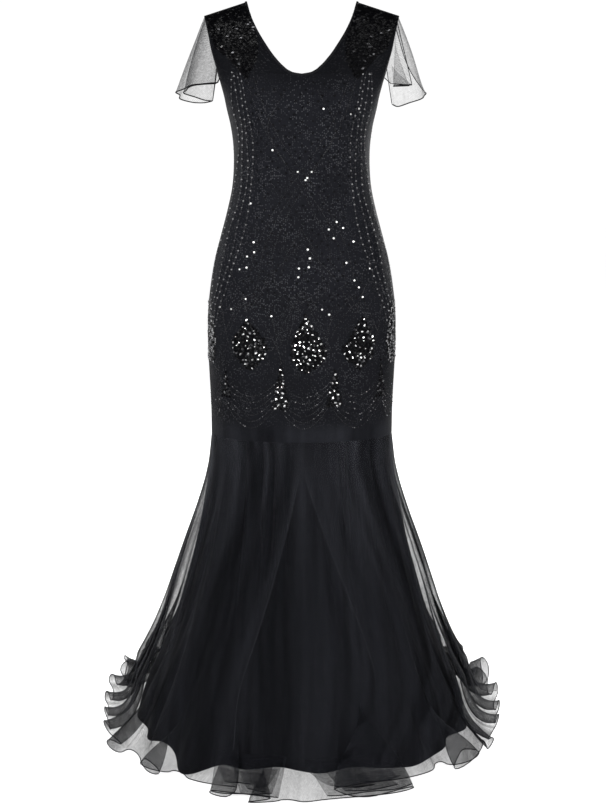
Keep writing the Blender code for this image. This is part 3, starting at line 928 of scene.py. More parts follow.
    def front_hem(self, angle: Array, share: Array, ruffled: Array, spread: Array) -> Array:
        """How far the front hem rises beside the godet, ripples and sinks.

        Args:
            angle: Angle round the skirt.
            share: Share of the way down to the hem.
            ruffled: How much the hem is ruffled there, from 0 to 1.
            spread: How much the hem spreads there, from 0 to 1.

        Returns:
            The rise in metres.
        """
        degrees = np.degrees(wrapped(angle))
        left = smooth_step((-19 - degrees) / 3.2) * smooth_step((degrees + 52) / 16)
        right = smooth_step((degrees - 18) / 6) * smooth_step((60 - degrees) / 22)
        raised = (self.left_raise * left + self.right_raise * right) * share**1.5
        ripple = self.front_ripple * share**3 * (np.sin(23 * angle + 1.0) + 0.6 * np.sin(41 * angle))
        return raised + (ripple * (1 - ruffled) - self.front_sink * share**2) * (1 - spread)

    def godet_angle(self, height: Array, way: int) -> Array:
        """Angle at which a godet seam lies at each height.

        Args:
            height: Height above the floor.
            way: -1 or 1 along X.

        Returns:
            The angles in radians.
        """
        reach = np.maximum(self.godet_seams.at(1 if way < 0 else 2, height), 0.0)
        half = self.sections.at(1, height)
        found = way * np.arcsin((reach / half) ** (1 / self.front_roundness))
        return np.where(height >= self.apex, 0.0, found)


@dataclass
class LiningForm(SkirtForm):
    """Shape of the opaque lining skirt."""

    # height, half width, front, widest point and back along Y, roundness, waves
    sections: Profile = Profile((
        (0.6292, 0.1698, -0.1180, 0.000, 0.103, 0.93, 0.0000),
        (0.585, 0.1735, -0.1186, 0.002, 0.1085, 0.93, 0.0002),
        (0.500, 0.1860, -0.1238, 0.006, 0.125, 0.93, 0.0009),
        (0.420, 0.2010, -0.1330, 0.012, 0.148, 0.93, 0.0018),
        (0.340, 0.2210, -0.1450, 0.024, 0.180, 0.92, 0.0030),
        (0.260, 0.2440, -0.1590, 0.042, 0.218, 0.92, 0.0040),
        (0.180, 0.2750, -0.1715, 0.060, 0.262, 0.92, 0.0050),
        (0.105, 0.3060, -0.1860, 0.080, 0.315, 0.90, 0.0070),
        (0.060, 0.3180, -0.1970, 0.092, 0.345, 0.88, 0.0090),
        (0.029, 0.3240, -0.2050, 0.096, 0.360, 0.87, 0.0105),
    ))
    waves: int = 16
    # how much deeper the lining's folds are than the tulle's
    fold_share: float = 1.7
    top: float = 0.6292
    hem: float = 0.029
    # low lobes of the hem: middle and width in degrees, drop and reach outwards
    lobes: tuple[tuple[float, float, float, float], ...] = (
        (-37.0, 10.0, 0.021, 0.015),
        (37.0, 9.0, 0.015, 0.010),
        (-54.0, 6.0, -0.009, -0.004),
        (10.0, 12.0, 0.004, 0.0),
    )

    def point(self, angle: Array, height: Array) -> Array:
        """Points of the lining with its waves.

        Args:
            angle: Angle round the skirt, 0 at the centre front.
            height: Height above the floor.

        Returns:
            Points, in the broadcast shape of both.
        """
        angle, height = np.broadcast_arrays(angle, height)
        wave = self.sections.at(6, height)
        out = self.outward(angle, height)[0]
        phase = self.waves * angle + 0.9 * np.sin(3 * angle + 0.4)
        shift = wave * unevenness(angle, 2.7) * np.sin(phase)
        shift = shift + self.fold_share * hand_folds(angle, height)
        near_hem = np.clip((0.16 - height) / (0.16 - self.hem), 0, 1) ** 2
        low = 0.0
        for middle, width, drop, reach in self.lobes:
            off = wrapped(angle - math.radians(middle))
            lobe = np.exp(-((off / math.radians(width)) ** 2)) * near_hem
            shift = shift + reach * lobe
            low = low + drop * lobe
        place = self.base(angle, height) + out * shift[..., None]
        place[..., 2] -= low
        return place


# Materials


class Wiring:
    """Places and links the nodes of one tree."""

    def __init__(self, tree: Tree) -> None:
        """Starts on a tree."""
        self.tree = tree

    def add(self, kind: str, **settings: object) -> Node:
        """Adds a node of a kind, with its settings.

        Args:
            kind: The node's type.
            settings: Its options by name.

        Returns:
            The node.
        """
        node = self.tree.nodes.new(kind)
        for name, value in settings.items():
            setattr(node, name, value)
        return node

    def put(self, value: object, socket: Socket) -> None:
        """Feeds a socket from another one, or sets its own value.

        Args:
            value: The other socket, or a value.
            socket: The socket.
        """
        if isinstance(value, Socket):
            self.tree.links.new(value, socket)
        else:
            socket.default_value = value

    def flat(self) -> Socket:
        """Place on the flat cloth, in metres."""
        return self.add("ShaderNodeUVMap", uv_map="flat").outputs[0]

    def place(self) -> Socket:
        """Place on the gown, in metres from the frame's origin."""
        return self.add("ShaderNodeTexCoord").outputs["Object"]

    def axes(self, place: object) -> tuple[Socket, Socket, Socket]:
        """Splits a place into its X, Y and Z.

        Args:
            place: The place.

        Returns:
            The three numbers.
        """
        node = self.add("ShaderNodeSeparateXYZ")
        self.put(place, node.inputs[0])
        return tuple(node.outputs)

    def math(self, operation: str, *values: object, clamp: bool = False) -> Socket:
        """Adds a sum of one to three values.

        Args:
            operation: What is done.
            values: Sockets or numbers.
            clamp: Whether it is kept from 0 to 1.

        Returns:
            The result.
        """
        node = self.add("ShaderNodeMath", operation=operation, use_clamp=clamp)
        for place, value in enumerate(values):
            self.put(value, node.inputs[place])
        return node.outputs[0]

    def vector(self, operation: str, *values: object) -> Socket:
        """Adds a sum of vectors.

        Args:
            operation: What is done.
            values: Sockets or vectors.

        Returns:
            The result.
        """
        node = self.add("ShaderNodeVectorMath", operation=operation)
        for place, value in enumerate(values):
            self.put(value, node.inputs[place])
        return node.outputs[0]

    def ramp(
        self, value: object, low: float, high: float, to: tuple[float, float] = (0.0, 1.0)
    ) -> Socket:
        """Maps a range of a value softly to another.

        Args:
            value: The value.
            low: Where the range starts.
            high: Where it ends.
            to: What its start and end become.

        Returns:
            The mapped value.
        """
        node = self.add("ShaderNodeMapRange", interpolation_type="SMOOTHSTEP")
        self.put(value, node.inputs[0])
        for place, number in enumerate((low, high, *to), start=1):
            node.inputs[place].default_value = number
        return node.outputs[0]

    def blend(self, share: object, first: object, second: object) -> Socket:
        """Mixes two colours.

        Args:
            share: How much of the second is in it.
            first: A socket or colour.
            second: The same.

        Returns:
            The mixed colour.
        """
        node = self.add("ShaderNodeMix", data_type="RGBA")
        self.put(share, node.inputs[0])
        for value, socket in ((first, node.inputs[6]), (second, node.inputs[7])):
            self.put((*value, 1.0) if isinstance(value, tuple) and len(value) == 3 else value, socket)
        return node.outputs[2]

    def noise(self, place: object, scale: float, detail: float = 3.0, rough: float = 0.55) -> Socket:
        """Adds soft noise.

        Args:
            place: Where it is read.
            scale: How many of its spots lie in a metre.
            detail: How many finer layers it has.
            rough: How strong they are.

        Returns:
            The noise, from 0 to 1.
        """
        node = self.add("ShaderNodeTexNoise")
        self.put(place, node.inputs["Vector"])
        node.inputs["Scale"].default_value = scale
        node.inputs["Detail"].default_value = detail
        node.inputs["Roughness"].default_value = rough
        return node.outputs["Fac"]

    def group(self, tree: Tree, **values: object) -> Node:
        """Places a node group and feeds its named sockets.

        Args:
            tree: The group.
            values: What each socket gets, by its name.

        Returns:
            The group's node.
        """
        node = self.add("ShaderNodeGroup", node_tree=tree)
        for name, value in values.items():
            self.put(value, node.inputs[name.replace("_", " ")])
        return node


class Effects:
    """Shader node groups that several finishes share, each built once."""

    def __init__(self) -> None:
        """Builds the groups."""
        self.net = self.build_net()
        self.mottle = self.build_mottle()
        self.crumple = self.build_crumple()
        self.specks = self.build_specks()
        self.streaks = self.build_streaks()

    @staticmethod
    def start(
        name: str, numbers: dict[str, float], gives: tuple[str, ...]
    ) -> tuple[Tree, Wiring, Node, Node]:
        """Makes an empty group that takes a place and some numbers.

        Args:
            name: The group's name.
            numbers: Each number that it takes, with its first value.
            gives: The numbers that it puts out.

        Returns:
            The group, its wiring, and its input and output nodes.
        """
        tree = bpy.data.node_groups.new(name, "ShaderNodeTree")
        tree.interface.new_socket(name="Place", in_out="INPUT", socket_type="NodeSocketVector")
        for label, value in numbers.items():
            made = tree.interface.new_socket(name=label, in_out="INPUT", socket_type="NodeSocketFloat")
            made.default_value = value
        for label in gives:
            tree.interface.new_socket(name=label, in_out="OUTPUT", socket_type="NodeSocketFloat")
        wiring = Wiring(tree)
        return tree, wiring, wiring.add("NodeGroupInput"), wiring.add("NodeGroupOutput")

    def build_net(self) -> Tree:
        """Six-sided net: how much of each place is thread, and the thread's height."""
        tree, wiring, taken, given = self.start(
            "hexagonal_net", {"Pitch": 0.002, "Thread": 0.5}, ("Mask", "Height")
        )
        x, y, _ = wiring.axes(taken.outputs["Place"])
        per_metre = wiring.math("DIVIDE", FULL_TURN, taken.outputs["Pitch"])
        total: object = 0.0
        for turn in (0.0, FULL_TURN / 3, 2 * FULL_TURN / 3):
            across = wiring.math("MULTIPLY", x, math.cos(turn))
            down = wiring.math("MULTIPLY", y, math.sin(turn))
            reach = wiring.math("MULTIPLY", wiring.math("ADD", across, down), per_metre)
            total = wiring.math("ADD", total, wiring.math("COSINE", reach))
        hole = wiring.math("DIVIDE", wiring.math("ADD", total, 1.5), 4.5)
        height = wiring.math("SUBTRACT", 1.0, hole)
        edge = wiring.math("SUBTRACT", 1.0, taken.outputs["Thread"])
        gone = wiring.math("SUBTRACT", height, edge)
        mask = wiring.math("MULTIPLY_ADD", gone, 5.0, 0.5, clamp=True)
        wiring.put(mask, given.inputs["Mask"])
        wiring.put(height, given.inputs["Height"])
        return tree

    def build_mottle(self) -> Tree:
        """Slow and quick unevenness of colour and gloss."""
        tree, wiring, taken, given = self.start("mottle", {"Amount": 0.5}, ("Tone", "Gloss"))
        slow = wiring.noise(taken.outputs["Place"], 9.0, 2.0)
        quick = wiring.noise(taken.outputs["Place"], 95.0, 4.0, 0.65)
        both = wiring.math("ADD", wiring.math("MULTIPLY", slow, 0.6), wiring.math("MULTIPLY", quick, 0.4))
        swing = wiring.math("MULTIPLY", wiring.math("SUBTRACT", both, 0.5), taken.outputs["Amount"])
        wiring.put(wiring.math("ADD", 0.5, swing, clamp=True), given.inputs["Tone"])
        wiring.put(wiring.math("MULTIPLY", swing, 0.25), given.inputs["Gloss"])
        return tree

    def build_crumple(self) -> Tree:
        """Small soft wrinkles of hanging cloth, longer down than across."""
        tree, wiring, taken, given = self.start("crumple", {"Stretch": 0.3}, ("Height",))
        scale = wiring.add("ShaderNodeCombineXYZ")
        scale.inputs[0].default_value = 1.0
        scale.inputs[1].default_value = 1.0
        wiring.put(taken.outputs["Stretch"], scale.inputs[2])
        place = wiring.vector("MULTIPLY", taken.outputs["Place"], scale.outputs[0])
        large = wiring.noise(place, 26.0, 2.0)
        small = wiring.noise(place, 120.0, 3.0)
        wiring.put(wiring.math("MULTIPLY_ADD", small, 0.3, large), given.inputs["Height"])
        return tree

    def build_streaks(self) -> Tree:
        """Long soft streaks down hanging cloth: in colour they are painted fold shade, in cover they are
        where more or fewer layers lie together.
        """
        tree, wiring, taken, given = self.start("streaks", {"Across": 30.0, "Down": 1.4}, ("Tone",))
        scale = wiring.add("ShaderNodeCombineXYZ")
        wiring.put(taken.outputs["Across"], scale.inputs[0])
        wiring.put(taken.outputs["Down"], scale.inputs[1])
        place = wiring.vector("MULTIPLY", taken.outputs["Place"], scale.outputs[0])
        broad = wiring.ramp(wiring.noise(place, 1.0, 1.5, 0.4), 0.34, 0.66)
        narrow = wiring.ramp(wiring.noise(place, 3.1, 1.0, 0.4), 0.34, 0.66)
        tone = wiring.math("MULTIPLY_ADD", narrow, 0.35, wiring.math("MULTIPLY", broad, 0.65))
        wiring.put(tone, given.inputs["Tone"])
        return tree

    def build_specks(self) -> Tree:
        """Small round dots of thread and seed beads, as colour and as height."""
        tree, wiring, taken, given = self.start("specks", {"Scale": 300.0, "Share": 0.4}, ("Mask",))
        cells = wiring.add("ShaderNodeTexVoronoi", voronoi_dimensions="2D")
        wiring.put(taken.outputs["Place"], cells.inputs["Vector"])
        wiring.put(taken.outputs["Scale"], cells.inputs["Scale"])
        cells.inputs["Randomness"].default_value = 0.75
        dot = wiring.ramp(cells.outputs["Distance"], 0.42, 0.24)
        pick = wiring.add("ShaderNodeSeparateColor")
        wiring.put(cells.outputs["Color"], pick.inputs[0])
        chosen = wiring.math("LESS_THAN", pick.outputs[0], taken.outputs["Share"])
        wiring.put(wiring.math("MULTIPLY", dot, chosen), given.inputs["Mask"])
        return tree


@dataclass(frozen=True)
class Finish:
    """What every finish sets on its shader."""

    name: str
    dark: Colour
    light: Colour
    roughness: float = 0.6
    specular: float = 0.2
    sheen: float = 0.0
    metallic: float = 0.0
    amount: float = 1.0

    def begin(self) -> tuple[Material, Wiring, Node]:
        """Makes the material with its even values set."""
        material = bpy.data.materials.new(self.name)
        material.use_nodes = True
        wiring = Wiring(material.node_tree)
        shader = material.node_tree.nodes["Principled BSDF"]
        shader.inputs["Specular IOR Level"].default_value = self.specular
        shader.inputs["Sheen Weight"].default_value = self.sheen
        shader.inputs["Sheen Roughness"].default_value = 0.45
        shader.inputs["Metallic"].default_value = self.metallic
        return material, wiring, shader

    def gloss(self, wiring: Wiring, shader: Node, effects: Effects, place: Socket) -> Socket:
        """Feeds uneven roughness.

        Args:
            wiring: The material's wiring.
            shader: Its shader.
            effects: The shared groups.
            place: Socket that gives the place on the surface.

        Returns:
            The tone that goes with it, from 0 to 1.
        """
        mottle = wiring.group(effects.mottle, Place=place, Amount=self.amount)
        rough = wiring.math("ADD", self.roughness, mottle.outputs["Gloss"], clamp=True)
        wiring.put(rough, shader.inputs["Roughness"])
        return mottle.outputs["Tone"]

    def colour(self, wiring: Wiring, shader: Node, effects: Effects, place: Socket) -> Socket:
        """Feeds uneven colour and roughness.

        Args:
            wiring: The material's wiring.
            shader: Its shader.
            effects: The shared groups.
            place: Socket that gives the place on the surface.

        Returns:
            The colour's socket, so that more can be laid over it.
        """
        tone = self.gloss(wiring, shader, effects, place)
        colour = wiring.blend(tone, self.dark, self.light)
        wiring.put(colour, shader.inputs["Base Color"])
        return colour

    @staticmethod
    def bump(wiring: Wiring, shader: Node, heights: tuple[tuple[object, float], ...]) -> None:
        """Feeds the shader's normal.

        Args:
            wiring: The material's wiring.
            shader: Its shader.
            heights: Heights, each with the depth in metres that one unit of it has.
        """
        total: object = 0.0
        for height, depth in heights:
            total = wiring.math("ADD", total, wiring.math("MULTIPLY", height, depth))
        node = wiring.add("ShaderNodeBump")
        node.inputs["Strength"].default_value = 1.0
        node.inputs["Distance"].default_value = 1.0
        wiring.put(total, node.inputs["Height"])
        wiring.put(node.outputs[0], shader.inputs["Normal"])


@dataclass(frozen=True)
class BeadedNet(Finish):
    """Fine net worked all over with small thread and seed bead dots, over its lining."""

    speck: Colour = (0.062, 0.063, 0.070)
    net_thread: Colour = (0.040, 0.041, 0.048)
    # colour that the worked net falls to: painted shade on the straps, and plain darkening towards the thighs
    painted_shade: Colour = (0.0010, 0.0011, 0.0015)
    # darkest and lightest colour of the plain band under the swags, down which streaks of painted fold shade
    # and light run
    plain_shade: Colour = (0.0030, 0.0032, 0.0045)
    plain_light: Colour = (0.0138, 0.0147, 0.0183)
    net_pitch: float = 0.0016
    speck_scale: float = 300.0
    speck_share: float = 0.36
    # heights from the frame's origin between which the beading starts, the straps take painted shade, and the
    # body darkens towards its lower edge
    beading_edge: tuple[float, float] = (-0.772, -0.742)
    strap_edge: tuple[float, float] = (-0.180, -0.090)
    thigh_edge: tuple[float, float] = (-0.74, -0.44)
    # depths in metres of the net, the specks and the wrinkles
    net_relief: float = 0.00022
    speck_relief: float = 0.00045
    wrinkle: float = 0.0016

    def darkened(self, wiring: Wiring, worked: Socket, height: Socket) -> Socket:
        """Paints shade on the straps, which turn up away from the light, and darkens the worked net towards
        the thighs.

        Args:
            wiring: The material's wiring.
            worked: Colour of the worked net.
            height: Height from the frame's origin.

        Returns:
            The darkened colour.
        """
        # painted shade, deepest towards the shoulders; the thighs only grow darker towards the lower edge
        straps = wiring.ramp(height, *self.strap_edge, (1.0, 0.40))
        thighs = wiring.ramp(height, *self.thigh_edge, (0.66, 1.0))
        return wiring.blend(wiring.math("MULTIPLY", straps, thighs), self.painted_shade, worked)

    def material(self, effects: Effects) -> Material:
        """Builds the finish.

        Args:
            effects: The shared groups.

        Returns:
            The material.
        """
        material, wiring, shader = self.begin()
        flat = wiring.flat()
        place = wiring.place()
        base = self.colour(wiring, shader, effects, place)
        net = wiring.group(effects.net, Place=flat, Pitch=self.net_pitch, Thread=0.55)
        specks = wiring.group(effects.specks, Place=flat, Scale=self.speck_scale, Share=self.speck_share)
        patchy = wiring.ramp(wiring.noise(place, 22.0, 3.0), 0.38, 0.68, (0.15, 0.8))
        height = wiring.axes(place)[2]
        beaded = wiring.ramp(height, *self.beading_edge)
        dots = wiring.math("MULTIPLY", wiring.math("MULTIPLY", specks.outputs["Mask"], patchy), beaded)
        threads = wiring.math("MULTIPLY", net.outputs["Mask"], 0.07)
        netted = wiring.blend(threads, base, self.net_thread)
        toned = self.darkened(wiring, wiring.blend(dots, netted, self.speck), height)
        # painted fold shade: streaks of darker and lighter colour down the plain band
        folds = wiring.group(effects.streaks, Place=flat, Across=17.0, Down=0.8)
        plain = wiring.blend(folds.outputs["Tone"], self.plain_shade, self.plain_light)
        wiring.put(wiring.blend(beaded, plain, toned), shader.inputs["Base Color"])
        crumple = wiring.group(effects.crumple, Place=place, Stretch=0.9)
        self.bump(wiring, shader, (
            (net.outputs["Height"], self.net_relief),
            (specks.outputs["Mask"], self.speck_relief),
            (crumple.outputs["Height"], self.wrinkle),
        ))
        return material


@dataclass(frozen=True)
class Satin(Finish):
    """Close woven lining with a soft nap."""

    # darkest colour of the streaks: painted fold shade
    painted_shade: Colour = (0.0022, 0.0023, 0.0033)
    # distance between the twill's lines, and the depths of the twill and of the wrinkles, in metres
    weave: float = 0.0007
    weave_relief: float = 0.00004
    wrinkle: float = 0.0030

    def material(self, effects: Effects) -> Material:
        """Builds the finish.

        Args:
            effects: The shared groups.

        Returns:
            The material.
        """
        material, wiring, shader = self.begin()
        flat = wiring.flat()
        place = wiring.place()
        base = self.colour(wiring, shader, effects, place)
        # painted fold shade in soft streaks down the lining
        streaks = wiring.group(effects.streaks, Place=flat, Across=26.0, Down=1.1)
        wiring.put(wiring.blend(streaks.outputs["Tone"], self.painted_shade, base), shader.inputs["Base Color"])
        across, down, _ = wiring.axes(flat)
        slant = wiring.math("ADD", across, wiring.math("MULTIPLY", down, 0.5))
        twill = wiring.math("SINE", wiring.math("MULTIPLY", slant, FULL_TURN / self.weave))
        crumple = wiring.group(effects.crumple, Place=place, Stretch=0.18)
        wrinkles = (crumple.outputs["Height"], self.wrinkle)
        self.bump(wiring, shader, ((twill, self.weave_relief), wrinkles))
        return material


@dataclass(frozen=True)
class Tulle(Finish):
    """Sheer net: thread and holes, closer together where it is seen at a slant."""

    # how much of the cloth is thread, the distance between its holes in metres, how strongly the
    # holes show, and how much the cover differs from streak to streak
    cover: float = 0.40
    pitch: float = 0.0019
    mesh: float = 0.30
    swing: float = 0.10
    # colour of the painted fold shade: the streaks' dark and the painted shadow of the godet's deep fold
    fold_shade: Colour | None = None
    top_light: Colour = (0.0325, 0.0340, 0.0405)
    net_relief: float = 0.00012
    wrinkle: float = 0.0024
    # how dark the painted shadow of the godet's deep fold is, and the places between which its edges fade
    fold_strength: float = 0.60
    fold_left: tuple[float, float] = (-0.008, 0.016)
    fold_right: tuple[float, float] = (0.020, 0.042)
    fold_top: tuple[float, float] = (-0.93, -0.86)
    fold_foot: tuple[float, float] = (-1.30, -1.05)
    fold_depth: tuple[float, float] = (-0.02, 0.0)
    # heights from the frame's origin between which the skirt grows lighter towards its top
    lighter: tuple[float, float] = (-1.12, -0.79)

    def painted_fold_shadow(self, wiring: Wiring, axes: tuple[Socket, Socket, Socket]) -> Socket:
        """Masks a painted shadow under the deep fold that hangs from the godet's top, down the front.

        Args:
            wiring: The material's wiring.
            axes: X, Y and Z of the place on the gown.

        Returns:
            How deep the painted shadow is at each place, from 0 to 1.
        """
        along, depth, height = axes
        left = wiring.ramp(along, *self.fold_left)
        right = wiring.ramp(along, *self.fold_right, (self.fold_strength, 0.0))
        start = wiring.ramp(height, *self.fold_top, (1.0, 0.0))
        fade = wiring.ramp(height, *self.fold_foot)
        front = wiring.ramp(depth, *self.fold_depth, (1.0, 0.0))
        across = wiring.math("MULTIPLY", left, right)
        down = wiring.math("MULTIPLY", start, fade)
        return wiring.math("MULTIPLY", wiring.math("MULTIPLY", across, down), front)

    def open_net(
        self, wiring: Wiring, shader: Node, effects: Effects, net: Node, flat: Socket, place: Socket
    ) -> None:
        """Lets light through between the threads, and less where the net is seen at a slant.

        Args:
            wiring: The material's wiring.
            shader: Its shader.
            effects: The shared groups.
            net: The net's group.
            flat: Place on the flat cloth.
            place: Place on the gown.
        """
        uneven = wiring.ramp(wiring.noise(place, 210.0, 2.0), 0.3, 0.7, (-0.04, 0.04))
        streaks = wiring.group(effects.streaks, Place=flat, Across=55.0, Down=2.2)
        least = self.cover - 0.5 * self.swing
        denser = wiring.math("MULTIPLY_ADD", streaks.outputs["Tone"], self.swing, least)
        netted = wiring.math("SUBTRACT", net.outputs["Mask"], 0.4)
        thread = wiring.math("MULTIPLY_ADD", netted, self.mesh, denser)
        through = wiring.math("SUBTRACT", 1.0, wiring.math("ADD", thread, uneven, clamp=True))
        facing = wiring.add("ShaderNodeLayerWeight")
        facing.inputs["Blend"].default_value = 0.5
        slant = wiring.math("MAXIMUM", wiring.math("SUBTRACT", 1.0, facing.outputs["Facing"]), 0.22)
        clear = wiring.math("POWER", through, wiring.math("DIVIDE", 1.0, slant))
        wiring.put(wiring.math("SUBTRACT", 1.0, clear, clamp=True), shader.inputs["Alpha"])

    def material(self, effects: Effects) -> Material:
        """Builds the finish.

        Args:
            effects: The shared groups.

        Returns:
            The material.
        """
        material, wiring, shader = self.begin()
        flat = wiring.flat()
        place = wiring.place()
        colour = self.colour(wiring, shader, effects, place)
        if self.fold_shade is not None:
            # painted fold shade in streaks, and a painted shadow under the godet's deep fold
            folds = wiring.group(effects.streaks, Place=flat, Across=17.0, Down=0.8)
            axes = wiring.axes(place)
            upper = wiring.ramp(axes[2], *self.lighter, (0.0, 0.90))
            colour = wiring.blend(upper, colour, self.top_light)
            folded = wiring.blend(folds.outputs["Tone"], self.fold_shade, colour)
            dark = wiring.blend(self.painted_fold_shadow(wiring, axes), folded, self.fold_shade)
            wiring.put(dark, shader.inputs["Base Color"])
        net = wiring.group(effects.net, Place=flat, Pitch=self.pitch, Thread=0.36)
        self.open_net(wiring, shader, effects, net, flat, place)
        crumple = wiring.group(effects.crumple, Place=place, Stretch=0.25)
        wrinkles = (crumple.outputs["Height"], self.wrinkle)
        self.bump(wiring, shader, ((net.outputs["Height"], self.net_relief), wrinkles))
        return material


@dataclass(frozen=True)
class Trim(Finish):
    """Bias binding, rolled edges and thread: fine ribs along the strip."""

    # distance between the ribs, and the depths of the ribs and of the nap, in metres
    rib: float = 0.0009
    rib_relief: float = 0.00006
    nap: float = 0.0002

    def material(self, effects: Effects) -> Material:
        """Builds the finish.

        Args:
            effects: The shared groups.

        Returns:
            The material.
        """
        material, wiring, shader = self.begin()
        place = wiring.place()
        self.colour(wiring, shader, effects, place)
        x, y, z = wiring.axes(place)
        slant = wiring.math("ADD", wiring.math("ADD", x, y), z)
        ribs = wiring.math("SINE", wiring.math("MULTIPLY", slant, FULL_TURN / self.rib))
        self.bump(wiring, shader, ((ribs, self.rib_relief), (wiring.noise(place, 700.0), self.nap)))
        return material


@dataclass(frozen=True)
class Spangle(Finish):
    """Sequins and beads: hard, glossy, a little uneven from one to the next."""

    # spots of a lighter tone in a metre, and the depth in metres of the dents
    grain: float = 230.0
    relief: float = 0.00012

    def material(self, effects: Effects) -> Material:
        """Builds the finish.

        Args:
            effects: The shared groups.

        Returns:
            The material.
        """
        material, wiring, shader = self.begin()
        place = wiring.place()
        tone = wiring.ramp(wiring.noise(place, self.grain, 1.0), 0.36, 0.64)
        wiring.put(wiring.blend(tone, self.dark, self.light), shader.inputs["Base Color"])
        self.gloss(wiring, shader, effects, place)
        self.bump(wiring, shader, ((wiring.noise(place, 900.0), self.relief),))
        return material


class Wardrobe:
    """Every finish of the gown, made once."""

    def __init__(self) -> None:
        """Builds the finishes."""
        effects = Effects()
        # beaded net, with painted shade on the straps and painted fold shade in the plain band
        self.beaded = BeadedNet(
            "beaded_net_cloth", (0.0026, 0.0029, 0.0044), (0.0088, 0.0094, 0.0126), 0.68, 0.05, 0.01,
            amount=2.2,
        ).material(effects)
        # lining satin, with painted fold shade in streaks
        self.lining = Satin(
            "lining_satin", (0.0090, 0.0097, 0.0130), (0.0150, 0.0160, 0.0205), 0.62, 0.10, 0.02
        ).material(effects)
        # overskirt tulle, with painted fold shade and the painted shadow of the godet's fold
        self.tulle = Tulle(
            "tulle_net", (0.0122, 0.0129, 0.0163), (0.0172, 0.0180, 0.0220), 0.85, 0.05, 0.01,
            cover=0.375, fold_shade=(0.0018, 0.0020, 0.0029),
        ).material(effects)
        self.fine_tulle = Tulle(
            "fine_tulle_net", (0.0085, 0.0088, 0.0110), (0.0160, 0.0162, 0.0190), 0.85, 0.06, 0.02,
            cover=0.127, pitch=0.0023, mesh=0.17, swing=0.04,
        ).material(effects)
        edge_dark, edge_light = (0.004, 0.004, 0.005), (0.009, 0.009, 0.011)
        self.binding = Trim("bias_binding", edge_dark, edge_light, 0.6, 0.10).material(effects)
        self.thread = Trim("rolled_edge", edge_dark, edge_light, 0.7, 0.08).material(effects)
        self.seam = Trim(
            "seam_thread", (0.013, 0.014, 0.017), (0.023, 0.024, 0.028), 0.7, 0.08
        ).material(effects)
        self.jet = Spangle(
            "jet_sequin", (0.0004, 0.0004, 0.0007), (0.0013, 0.0013, 0.0020), 0.24, 0.055
        ).material(effects)
        self.matte = Spangle(
            "matte_sequin", (0.0018, 0.0019, 0.0026), (0.0045, 0.0047, 0.0062), 0.45, 0.05
        ).material(effects)
        self.steel = Spangle(
            "gunmetal_sequin", (0.010, 0.010, 0.011), (0.060, 0.060, 0.063), 0.28, 0.5, metallic=1.0
        ).material(effects)
        self.frost = Spangle(
            "grey_sequin", (0.055, 0.056, 0.062), (0.340, 0.340, 0.350), 0.38, 0.5, metallic=0.35
        ).material(effects)
        # silver sequins, near white from every side: partly real silver, partly a painted glint
        self.glint_silver = Spangle(
            "silver_glint_sequin", (0.80, 0.80, 0.80), (0.95, 0.95, 0.95), 0.36, 0.5, metallic=0.75
        ).material(effects)
        self.mirror = Spangle(
            "mirror_sequin", (0.55, 0.55, 0.56), (0.92, 0.92, 0.92), 0.22, 0.5, metallic=1.0
        ).material(effects)
        self.bead = Spangle(
            "black_glass_bead", (0.004, 0.0042, 0.006), (0.045, 0.045, 0.049), 0.24, 0.35
        ).material(effects)


# Pieces


def wear(made: Piece, replaced: tuple[str, ...] = ()) -> Piece:
    """Ties a piece to the gown's one body.

    Args:
        made: The piece.
        replaced: Nodes that it stands for.

    Returns:
        The same piece.
    """
    if replaced:
        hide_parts(*replaced)
    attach(made, "root")
    triangles = sum(len(polygon.vertices) - 2 for polygon in made.data.polygons)
    LOG.info("%s: %d triangles", made.name, triangles)
    return made


